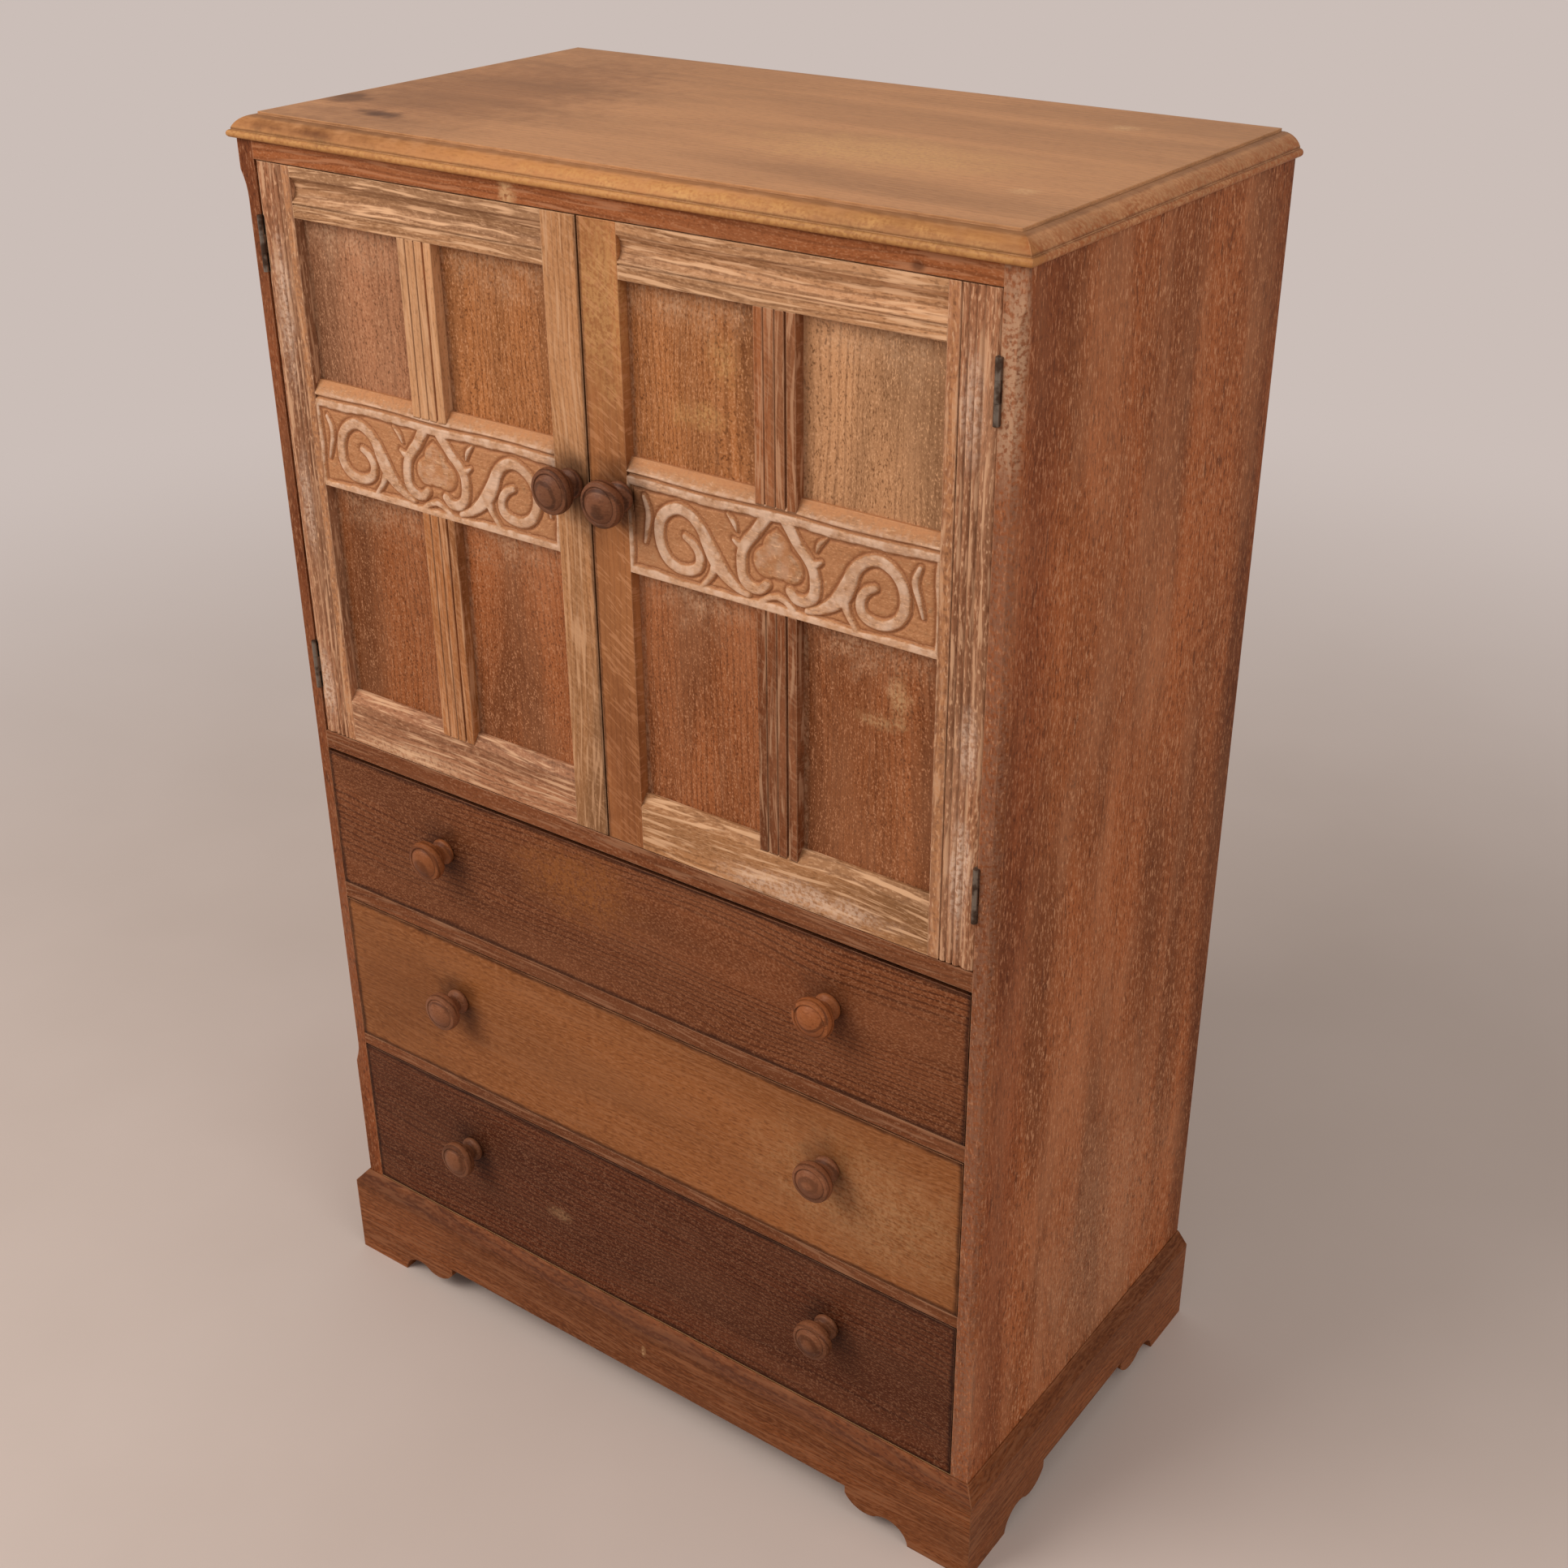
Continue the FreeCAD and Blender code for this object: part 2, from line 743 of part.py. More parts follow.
def rail_tenons():
    """Each door rail's level, and the low and high of its tenons above that level."""
    return (
        ("bottom", as_size(0), (d.tenon_shoulder, d.door_bottom_rail - d.groove_depth)),
        ("frieze", frieze_level, (d.groove_depth, d.frieze_height - d.groove_depth)),
        ("top", door_height - d.door_top_rail, (d.groove_depth, d.door_top_rail - d.tenon_shoulder)),
    )


def meeting_stile(label, hand, at, width, meeting_width, knob_x):
    """The inner stile, plain on its face, bored for the knob."""
    edge = width - meeting_width
    blank = handed_box(hand, f"{label}_blank", (edge, 0, 0), (meeting_width, d.door_thickness, door_height))
    tools = stile_joints(label, hand, edge, edge)
    tools.append(spigot_hole(f"{label}_knob_hole", (knob_x * hand, 0, door_knob_level)))
    subpart(cut(label, blank, tools), label, at)


def spigot_hole(name, at):
    """A hole that a knob's spigot is glued into."""
    radius = d.knob_spigot_radius + d.spigot_clearance
    return rod(name, at, (0, 1, 0), radius, d.knob_spigot_length + d.spigot_clearance)


def door_rail(label, hand, name, section, span, grooves):
    """A rail from its section, with a tenon on each end and a groove for the panels."""
    start, length = span
    low_x = handed(hand, start, length)
    blank = extrusion(f"{label}_blank", "YZ", section, length, low_x)
    pieces = [blank]
    for tenon_name, level, (low, high) in rail_tenons():
        if tenon_name == name:
            tenon_at = (low_x - d.door_tenon, d.panel_recess, level + low)
            tenon_size = (length + d.door_tenon * 2, d.panel_thickness, high - low)
            pieces.append(box(f"{label}_tenons", tenon_at, tenon_size))
    tools = []
    for level in grooves:
        groove_at = (low_x, d.panel_recess, level)
        tools.append(box(f"{label}_groove", groove_at, (length, d.panel_thickness, d.groove_depth)))
    return cut(f"{label}_jointed", fused(f"{label}_tenoned", pieces), tools), low_x


def top_section():
    """The section of a door's top rail: a hollow flute above a scratched line."""
    low = door_height - d.door_top_rail
    flute_high = door_height - d.flute_top
    flute_low = flute_high - d.flute_width
    scratch_high = flute_low - d.scratch_width
    scratch_low = scratch_high - d.scratch_width
    return [
        (d.door_thickness, low),
        (d.door_thickness, door_height),
        (0, door_height),
        (0, flute_high, -d.flute_depth),
        (0, flute_low),
        (0, scratch_high),
        (d.scratch_depth, scratch_high),
        (d.scratch_depth, scratch_low),
        (0, scratch_low),
        (0, low),
    ]


def bevelled_section(low, height):
    """The section of a rail whose top edge slopes back to the panels."""
    high = low + height
    return [
        (0, low),
        (d.door_thickness, low),
        (d.door_thickness, high),
        (d.rail_bevel_depth, high),
        (0, high - d.rail_bevel_height),
    ]


def frieze_rail(label, hand, at, span):
    """The middle rail, sunk for a field of scrolls that stand up from its ground."""
    grooves = (frieze_level, frieze_level + d.frieze_height - d.groove_depth)
    section = bevelled_section(frieze_level, d.frieze_height)
    jointed, low_x = door_rail(label, hand, "frieze", section, span, grooves)
    length = span[1]
    field_height = d.frieze_height - d.rail_bevel_height - d.field_top_margin - d.field_sill
    field_at = (low_x + d.field_margin, 0, frieze_level + d.field_sill)
    field_size = (length - d.field_margin * 2, d.field_depth, field_height)
    sunk = cut(f"{label}_sunk", jointed, [box(f"{label}_field", field_at, field_size)])
    middle = low_x + length / 2
    scroll_level = frieze_level + d.carving_height
    heart_level = frieze_level + d.heart_height
    carving = []
    for side in (-1, 1):
        scroll_at = (middle + d.scroll_spread * side, d.field_depth, scroll_level)
        carving.append(ring(f"{label}_scroll", scroll_at, d.scroll_radius, d.scroll_tube))
        carving.append(ring(f"{label}_eye", scroll_at, d.eye_radius, d.scroll_tube))
        heart_at = (middle + d.heart_spread * side, d.field_depth, heart_level)
        carving.append(ring(f"{label}_heart", heart_at, d.heart_radius, d.scroll_tube))
    subpart(fused(label, [sunk] + carving), label, at)


def muntin(label, hand, at, x, low, high):
    """An upright between two panels, scribed to the bevel below it, with a groove and fine lines."""
    section = [
        (0, low - d.rail_bevel_height),
        (d.rail_bevel_depth, low),
        (d.door_thickness, low),
        (d.door_thickness, high),
        (0, high),
    ]
    low_x = handed(hand, x, d.muntin_width)
    body = extrusion(f"{label}_body", "YZ", section, d.muntin_width, low_x)
    tongue_at = (low_x, d.panel_recess, low - d.groove_depth)
    tongue_size = (d.muntin_width, d.panel_thickness, high - low + d.groove_depth * 2)
    solid = fused(f"{label}_tongued", [body, box(f"{label}_tongues", tongue_at, tongue_size)])
    tools = []
    for groove_x in (low_x, low_x + d.muntin_width - d.groove_depth):
        groove_at = (groove_x, d.panel_recess, low - d.groove_depth)
        groove_size = (d.groove_depth, d.panel_thickness, high - low + d.groove_depth * 2)
        tools.append(box(f"{label}_groove", groove_at, groove_size))
    line_low = low - d.rail_bevel_height
    line_length = high - line_low
    for line in range(MUNTIN_LINE_COUNT):
        line_at = (low_x + d.muntin_line_inset + d.muntin_line_pitch * line, 0, line_low)
        line_size = (d.scratch_width, d.muntin_line_depth, line_length)
        tools.append(box(f"{label}_line", line_at, line_size))
    main_at = (low_x + d.muntin_groove_inset, 0, line_low)
    main_size = (d.muntin_groove_width, d.muntin_groove_depth, line_length)
    tools.append(box(f"{label}_main_groove", main_at, main_size))
    subpart(cut(label, solid, tools), label, at)


def panels(prefix, hand, at, width, meeting_width):
    """Four flat panels held in the grooves, with a little play."""
    opening = (width - d.hinge_stile_width - meeting_width - d.muntin_width) / 2
    reach = d.groove_depth - d.panel_play
    lower = (d.door_bottom_rail, frieze_level)
    upper = (frieze_level + d.frieze_height, door_height - d.door_top_rail)
    columns = {
        "outer": d.hinge_stile_width,
        "inner": d.hinge_stile_width + opening + d.muntin_width,
    }
    for row, (low, high) in (("lower", lower), ("upper", upper)):
        for column, x in columns.items():
            size = (opening + reach * 2, d.panel_thickness, high - low + reach * 2)
            low_x = handed(hand, x - reach, size[0])
            corner = (at[0] + low_x, at[1] + d.panel_recess, at[2] + low - reach)
            label = f"{prefix}_panel_{row}_{column}"
            subpart(box(f"{label}_board", corner, size), label)
    for row, (low, high) in (("lower", lower), ("upper", upper)):
        muntin(f"{prefix}_{row}_muntin", hand, at, d.hinge_stile_width + opening, low, high)


def door(prefix, hand, width, meeting_width, knob_inset):
    """A framed door with four panels, a carved middle rail, a knob and its hinge leaves."""
    x, z = door_corner(hand)
    at = (x, front, z)
    knob_x = width - knob_inset
    hinge_stile(f"{prefix}_hinge_stile", hand, at)
    meeting_stile(f"{prefix}_meeting_stile", hand, at, width, meeting_width, knob_x)
    span = (d.hinge_stile_width, width - d.hinge_stile_width - meeting_width)
    top_low = door_height - d.door_top_rail
    top, _ = door_rail(f"{prefix}_top_rail", hand, "top", top_section(), span, (top_low,))
    subpart(top, f"{prefix}_top_rail", at)
    frieze_rail(f"{prefix}_frieze_rail", hand, at, span)
    groove = d.door_bottom_rail - d.groove_depth
    section = bevelled_section(as_size(0), d.door_bottom_rail)
    bottom, _ = door_rail(f"{prefix}_bottom_rail", hand, "bottom", section, span, (groove,))
    subpart(bottom, f"{prefix}_bottom_rail", at)
    panels(prefix, hand, at, width, meeting_width)
    turned = knob(f"{prefix}_knob_body", (x + knob_x * hand, front, z + door_knob_level))
    subpart(turned, f"{prefix}_knob")
    leaves = [door_leaf(f"{prefix}_hinge", hand, level) for level in hinge_levels]
    subpart(group(f"{prefix}_leaf_group", leaves), f"{prefix}_hinge_leaves", at)


# Knobs


def knob(name, at):
    """A turned knob: a spigot, a collar, a flared neck and a thick head, ringed about its domed face."""
    rim_end = d.knob_projection - d.knob_face_rise
    rim_start = rim_end - d.knob_rim_height
    rim_radius = d.knob_head_radius - d.knob_rim_bow
    ring_inner = rim_radius - d.knob_ring_width
    ring_level = rim_end + d.knob_ring_rise
    dome_radius = ring_inner - d.knob_quirk
    dome_level = ring_level - d.knob_quirk
    dome_rise = d.knob_projection - dome_level
    profile = [
        (0, -d.knob_spigot_length),
        (d.knob_spigot_radius, -d.knob_spigot_length),
        (d.knob_spigot_radius, 0),
        (d.knob_collar_radius, 0, d.knob_collar_bow),
        (d.knob_collar_radius, d.knob_collar_height),
        (d.knob_neck_radius, d.knob_neck_start, -d.knob_flare_sag),
        (rim_radius, rim_start, d.knob_rim_bow),
        (rim_radius, rim_end),
        (ring_inner, ring_level),
        (dome_radius, dome_level, dome_sag(dome_radius, dome_rise)),
        (0, d.knob_projection),
    ]
    body = doc.addObject("PartDesign::Body", name)
    sketch = body.newObject("Sketcher::SketchObject", f"{name}_profile")
    for feature in body.Origin.OriginFeatures:
        if feature.Role == "XY_Plane":
            sketch.AttachmentSupport = [(feature, "")]
    sketch.MapMode = "FlatFace"
    draw(sketch, profile)
    turning = body.newObject("PartDesign::Revolution", f"{name}_turning")
    turning.Profile = sketch
    turning.ReferenceAxis = (sketch, ["V_Axis"])
    turning.Angle = 360
    body.Tip = turning
    body.Placement = FreeCAD.Placement(FreeCAD.Vector(), FreeCAD.Rotation(FreeCAD.Vector(0, 0, 1), 180))
    place(body, at)
    return body


# Drawers


def drawer(prefix, level, opening, gap, knob_rise):
    """A drawer whose sides lap into its front, with a bottom in grooves under its back."""
    width = inside_width - d.drawer_end_gap * 2
    height = opening - gap - d.drawer_bottom_gap
    at = (-width / 2, front, level + d.drawer_bottom_gap)
    low = d.drawer_run_clearance - d.drawer_bottom_gap
    side_height = height - d.drawer_side_drop - low
    groove_level = low + d.drawer_bottom_height
    knob_level = height / 2 + knob_rise
    side_span = (low, side_height)
    knobs_at = [(x, knob_level) for x in (d.drawer_knob_left_inset, width - d.drawer_knob_right_inset)]
    drawer_front(f"{prefix}_front", at, (width, height), side_span, groove_level, knobs_at)
    drawer_sides(prefix, at, width, side_span, groove_level)

    between = width - d.drawer_side_thickness * 2
    back_level = groove_level + d.drawer_bottom_thickness
    back_start = d.drawer_depth - d.drawer_back_thickness
    back_x = d.drawer_side_thickness - d.drawer_back_housing
    back_at = (at[0] + back_x, at[1] + back_start, at[2] + back_level)
    back_height = low + side_height - back_level
    back_size = (between + d.drawer_back_housing * 2, d.drawer_back_thickness, back_height)
    subpart(box(f"{prefix}_back_board", back_at, back_size), f"{prefix}_back")

    bottom_x = d.drawer_side_thickness - d.drawer_groove_depth
    bottom_y = d.drawer_front_thickness - d.drawer_groove_depth
    bottom_at = (at[0] + bottom_x, at[1] + bottom_y, at[2] + groove_level)
    bottom_size = (between + d.drawer_groove_depth * 2, d.drawer_depth - bottom_y, d.drawer_bottom_thickness)
    subpart(box(f"{prefix}_bottom_board", bottom_at, bottom_size), f"{prefix}_bottom")

    turned = []
    for x, z in knobs_at:
        turned.append(knob(f"{prefix}_knob_body", (at[0] + x, at[1], at[2] + z)))
    subpart(group(f"{prefix}_knob_pair", turned), f"{prefix}_knobs")


def drawer_front(label, at, size, side_span, groove_level, knobs_at):
    """The front board, rebated for the sides, grooved for the bottom and bored for the knobs."""
    width, height = size
    low, side_height = side_span
    blank = box(f"{label}_blank", (0, 0, 0), (width, d.drawer_front_thickness, height))
    lap_run = d.drawer_front_thickness - d.drawer_lap
    tools = []
    for x in (0, width - d.drawer_side_thickness):
        lap_size = (d.drawer_side_thickness, lap_run, side_height)
        tools.append(box(f"{label}_lap", (x, d.drawer_lap, low), lap_size))
    groove_x = d.drawer_side_thickness - d.drawer_groove_depth
    groove_at = (groove_x, d.drawer_front_thickness - d.drawer_groove_depth, groove_level)
    groove_size = (width - groove_x * 2, d.drawer_groove_depth, d.drawer_bottom_thickness)
    tools.append(box(f"{label}_groove", groove_at, groove_size))
    for x, z in knobs_at:
        tools.append(spigot_hole(f"{label}_knob_hole", (x, 0, z)))
    subpart(cut(label, blank, tools), label, at)


def drawer_sides(prefix, at, width, side_span, groove_level):
    """Two sides, grooved for the bottom and housed for the back."""
    low, side_height = side_span
    length = d.drawer_depth - d.drawer_lap
    for name, hand in (("left", 1), ("right", -1)):
        label = f"{prefix}_side_{name}"
        blank_size = (d.drawer_side_thickness, length, side_height)
        blank = handed_box(hand, f"{label}_blank", (0, 0, low), blank_size)
        groove_at = (d.drawer_side_thickness - d.drawer_groove_depth, 0, groove_level)
        groove_size = (d.drawer_groove_depth, length, d.drawer_bottom_thickness)
        housing_at = (
            d.drawer_side_thickness - d.drawer_back_housing,
            length - d.drawer_back_thickness,
            groove_level + d.drawer_bottom_thickness,
        )
        housing_size = (d.drawer_back_housing, d.drawer_back_thickness, side_height)
        tools = [
            handed_box(hand, f"{label}_groove", groove_at, groove_size),
            handed_box(hand, f"{label}_housing", housing_at, housing_size),
        ]
        x = at[0] if hand > 0 else at[0] + width
        subpart(cut(label, blank, tools), label, (x, at[1] + d.drawer_lap, at[2]))


def build():
    """Every sub-part of the press."""
    rail_run = d.rail_depth - d.tenon_setback * 2
    case_side("side_left", 1)
    case_side("side_right", -1)
    rail("bottom_rail", ledge_level, d.ledge_drop, d.rail_depth, rail_run)
    rail("drawer_rail_lower", lower_rail_level, d.lower_rail_thickness, d.rail_depth, rail_run)
    rail("drawer_rail_upper", upper_rail_level, d.upper_rail_thickness, d.rail_depth, rail_run)
    rail("cupboard_floor", floor_level, d.floor_thickness, back_face, back_face - d.tenon_setback)
    top_run = d.top_rail_depth - d.tenon_setback
    rail("top_rail", top_rail_level, d.top_rail_height, d.top_rail_depth, top_run)
    shelf()
    runners()
    back_panel()
    top_board()
    plinth_front()
    plinth_end("plinth_left", 1)
    plinth_end("plinth_right", -1)
    case_leaves()
    left_width = inner - d.door_gap - d.meeting_offset - d.meeting_gap / 2
    right_width = inner - d.door_gap + d.meeting_offset - d.meeting_gap / 2
    door("left", 1, left_width, d.left_meeting_width, d.left_knob_inset)
    door("right", -1, right_width, d.right_meeting_width, d.right_knob_inset)
    drawer("drawer_top", top_drawer_level, d.top_opening, d.top_drawer_gap, d.top_knob_rise)
    drawer("drawer_middle", middle_level, d.middle_opening, d.drawer_top_gap, d.middle_knob_rise)
    drawer("drawer_bottom", d.plinth_height, d.bottom_opening, d.drawer_top_gap, d.bottom_knob_rise)


def check():
    """Stop if any object failed or any sub-part has no valid shape."""
    for obj in doc.Objects:
        if "Invalid" in obj.State or "Error" in obj.State:
            raise RuntimeError(f"{obj.Label} failed: {obj.State}")
    for obj in subparts:
        if obj.Shape.isNull() or not obj.Shape.isValid() or not obj.Shape.Solids:
            raise RuntimeError(f"{obj.Label} has no valid solid")


def export():
    """Write one STEP file for each sub-part."""
    os.makedirs("parts", exist_ok=True)
    for obj in subparts:
        obj.Shape.exportStep(f"parts/{obj.Label}.step")
        print(obj.Label, len(obj.Shape.Solids), round(obj.Shape.Volume))


build()
doc.recompute()
check()
export()
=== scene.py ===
import math

import bmesh
import bpy
import numpy as np
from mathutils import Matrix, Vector


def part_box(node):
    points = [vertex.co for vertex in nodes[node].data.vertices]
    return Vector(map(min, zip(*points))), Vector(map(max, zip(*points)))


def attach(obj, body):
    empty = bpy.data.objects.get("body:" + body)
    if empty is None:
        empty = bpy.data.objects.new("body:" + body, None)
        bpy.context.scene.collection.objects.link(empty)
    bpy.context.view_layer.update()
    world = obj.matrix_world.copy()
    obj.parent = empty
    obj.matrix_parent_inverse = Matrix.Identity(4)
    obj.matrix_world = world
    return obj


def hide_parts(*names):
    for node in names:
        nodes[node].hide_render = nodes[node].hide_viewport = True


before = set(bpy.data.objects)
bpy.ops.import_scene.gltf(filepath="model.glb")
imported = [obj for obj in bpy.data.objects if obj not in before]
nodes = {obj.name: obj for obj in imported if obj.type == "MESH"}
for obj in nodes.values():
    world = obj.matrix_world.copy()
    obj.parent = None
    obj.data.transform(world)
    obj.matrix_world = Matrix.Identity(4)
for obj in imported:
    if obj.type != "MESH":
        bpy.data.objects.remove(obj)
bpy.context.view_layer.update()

# The looks of a limed oak linen press, built on its CAD frame. Lengths are in metres.


def srgb(red, green, blue):
    """A linear colour from the usual 0 to 255 values."""
    linear = []
    for value in (red, green, blue):
        share = value / 255
        linear.append(share / 12.92 if share <= 0.04045 else ((share + 0.055) / 1.055) ** 2.4)
    return (*linear, 1.0)


def shaded(colour, factor):
    """A colour made darker or lighter."""
    return (*[value * factor for value in colour[:3]], 1.0)


def between(first, second, share):
    """A colour part of the way from one to another."""
    return (*[a + (b - a) * share for a, b in zip(first[:3], second[:3])], 1.0)


# Shader building


def add(tree, kind, inputs=None, **settings):
    """A shader node with its settings, and its inputs set or linked."""
    made = tree.nodes.new("ShaderNode" + kind)
    for name, value in settings.items():
        setattr(made, name, value)
    feed(tree, made, inputs or {})
    return made


def feed(tree, made, inputs):
    """Set or link a node's inputs."""
    for socket, value in inputs.items():
        if isinstance(value, bpy.types.NodeSocket):
            tree.links.new(value, made.inputs[socket])
        else:
            made.inputs[socket].default_value = value


def sums(tree, operation, first, second=0.0, clamp=False):
    """The result of a math node."""
    return add(tree, "Math", {0: first, 1: second}, operation=operation, use_clamp=clamp).outputs[0]


def vectors(tree, operation, first, second):
    """The result of a vector math node."""
    return add(tree, "VectorMath", {0: first, 1: second}, operation=operation).outputs[0]


def ranged(tree, value, low, high, to_low=0.0, to_high=1.0):
    """A value eased from one range to another."""
    sockets = {"Value": value, "From Min": low, "From Max": high, "To Min": to_low, "To Max": to_high}
    return add(tree, "MapRange", sockets, interpolation_type="SMOOTHSTEP").outputs[0]


def blended(tree, share, first, second, blend="MIX"):
    """Two colours mixed by a share."""
    mixer = add(tree, "Mix", {0: share, 6: first, 7: second}, data_type="RGBA", blend_type=blend)
    return mixer.outputs[2]


def noise(tree, vector, features, detail=2.0, distortion=0.0):
    """Noise with so many features to the metre along the grain and across it."""
    along, across = features
    stretched = vectors(tree, "MULTIPLY", vector, (along, across, across))
    sockets = {"Vector": stretched, "Scale": 1.0, "Detail": detail, "Distortion": distortion}
    return add(tree, "TexNoise", sockets).outputs[0]


def even_noise(tree, features, detail):
    """Noise with so many features to the metre each way on a piece."""
    return noise(tree, object_place(tree), (features, features), detail)


def object_place(tree):
    """A point's place on its piece, which does not change as the piece moves."""
    return add(tree, "TexCoord").outputs["Object"]


def new_material(name):
    """An empty material and its shader."""
    made = bpy.data.materials.new(name)
    made.use_nodes = True
    return made, made.node_tree, made.node_tree.nodes["Principled BSDF"]


# Oak

FIGURES = ("bands", "haze", "lines", "flecks", "specks", "fine", "streaks", "rays", "flakes")
GRAIN_OUTPUTS = (
    ("Colour", "NodeSocketColor"),
    ("Height", "NodeSocketFloat"),
    ("Limed", "NodeSocketFloat"),
)

# Features to the metre, along the grain and across it.
DRIFT = (2.6, 9.0)
BANDS = (2.4, 15.0)
PATCHES = (2.0, 22.0)
LINE_DRIFT = (1.2, 45.0)
LONG_DASHES = (140.0, 560.0)
SHORT_DASHES = (420.0, 760.0)
FLAKES = (45.0, 190.0)
RAYS = (300.0, 60.0)
HAZE = (5.0, 20.0)
STREAKS = (18.0, 260.0)

# Where in its noise a figure starts, and where it is full.
BAND_STEP = (0.3, 0.7)
PATCH_STEP = (0.3, 0.52)
LINE_STEP = (0.2, 0.95)
SPECK_STEP = (0.47, 0.34)
FLAKE_STEP = (0.66, 0.74)
RAY_STEP = (0.53, 0.64)
HAZE_STEP = (0.42, 0.7)
FLECK_STEP = (0.53, 0.65)
STREAK_STEP = (0.52, 0.64)

LINES_PER_METRE = 160
LINE_WANDER = 9.0
LINE_GROOVE = 0.3
DRIFT_REACH = 0.05
RAY_SLANT = 0.6
DEEPENED = (0.7, 0.6, 0.52, 1.0)


def grain_group():
    """Oak whose first coordinate runs along the grain: slow bands, growth lines, dark specks, flakes and
    rays, and white lime as a haze, in the pores and in streaks."""
    group = bpy.data.node_groups.new("oak_grain", "ShaderNodeTree")
    group.interface.new_socket("Grain", in_out="INPUT", socket_type="NodeSocketVector")
    for name in ("Dark", "Light", "Lime"):
        group.interface.new_socket(name, in_out="INPUT", socket_type="NodeSocketColor")
    for name in FIGURES:
        group.interface.new_socket(name, in_out="INPUT", socket_type="NodeSocketFloat")
    for name, kind in GRAIN_OUTPUTS:
        group.interface.new_socket(name, in_out="OUTPUT", socket_type=kind)
    source = group.nodes.new("NodeGroupInput").outputs
    vector = source["Grain"]

    def weighed(value, strength):
        return sums(group, "MULTIPLY", value, source[strength])

    drift = noise(group, vector, DRIFT)
    bent = add(group, "CombineXYZ", {1: sums(group, "MULTIPLY", drift, DRIFT_REACH)}).outputs[0]
    wandering = vectors(group, "ADD", vector, bent)
    across = add(group, "SeparateXYZ", {0: wandering}).outputs[1]

    slow = ranged(group, noise(group, vector, BANDS, 3.0, 0.5), *BAND_STEP, -0.5, 0.5)
    share = sums(group, "ADD", weighed(slow, "bands"), 0.5, clamp=True)
    wood = blended(group, share, source["Dark"], source["Light"])
    turns = sums(group, "MULTIPLY", across, LINES_PER_METRE * 2 * math.pi)
    line_drift = sums(group, "MULTIPLY", noise(group, vector, LINE_DRIFT), LINE_WANDER)
    wave = sums(group, "SINE", sums(group, "ADD", turns, line_drift))
    patches = ranged(group, noise(group, vector, PATCHES), *PATCH_STEP)
    lines = sums(group, "MULTIPLY", ranged(group, wave, *LINE_STEP), patches)
    deep = blended(group, 1.0, source["Dark"], DEEPENED, "MULTIPLY")
    wood = blended(group, weighed(lines, "lines"), wood, deep)

    long_dashes = noise(group, wandering, LONG_DASHES, 1.0)
    short_dashes = noise(group, wandering, SHORT_DASHES, 1.0)
    mixer = add(group, "Mix", {0: source["fine"], 2: long_dashes, 3: short_dashes}, data_type="FLOAT")
    dashes = mixer.outputs[0]
    specks = ranged(group, dashes, *SPECK_STEP)
    flakes = ranged(group, noise(group, wandering, FLAKES, 1.0), *FLAKE_STEP)
    dark_marks = sums(group, "MAXIMUM", weighed(specks, "specks"), weighed(flakes, "flakes"))
    wood = blended(group, dark_marks, wood, deep)
    slant = add(group, "CombineXYZ", {0: sums(group, "MULTIPLY", across, RAY_SLANT)}).outputs[0]
    bars = noise(group, vectors(group, "ADD", wandering, slant), RAYS, 1.0, 0.8)
    rays = sums(group, "MULTIPLY", ranged(group, bars, *RAY_STEP), patches)
    wood = blended(group, weighed(rays, "rays"), wood, source["Lime"])

    haze = ranged(group, noise(group, vector, HAZE, 4.0, 0.3), *HAZE_STEP)
    flecks = ranged(group, dashes, *FLECK_STEP)
    streaks = ranged(group, noise(group, wandering, STREAKS, 3.0), *STREAK_STEP)
    limed = sums(group, "MAXIMUM", weighed(haze, "haze"), weighed(flecks, "flecks"))
    limed = sums(group, "MAXIMUM", limed, weighed(streaks, "streaks"), clamp=True)
    colour = blended(group, limed, wood, source["Lime"])
    height = sums(group, "SUBTRACT", dashes, sums(group, "MULTIPLY", lines, LINE_GROOVE))
    sink = group.nodes.new("NodeGroupOutput").inputs
    for name, value in (("Colour", colour), ("Height", height), ("Limed", limed)):
        group.links.new(value, sink[name])
    return group


OAK = grain_group()
PALE = srgb(224, 182, 144)

# How bright a board's edges are beside its face: rubbed pale, or darkened along its edges and grooves.
RUBBED_EDGE = 1.45
DARKENED_EDGE = 0.3

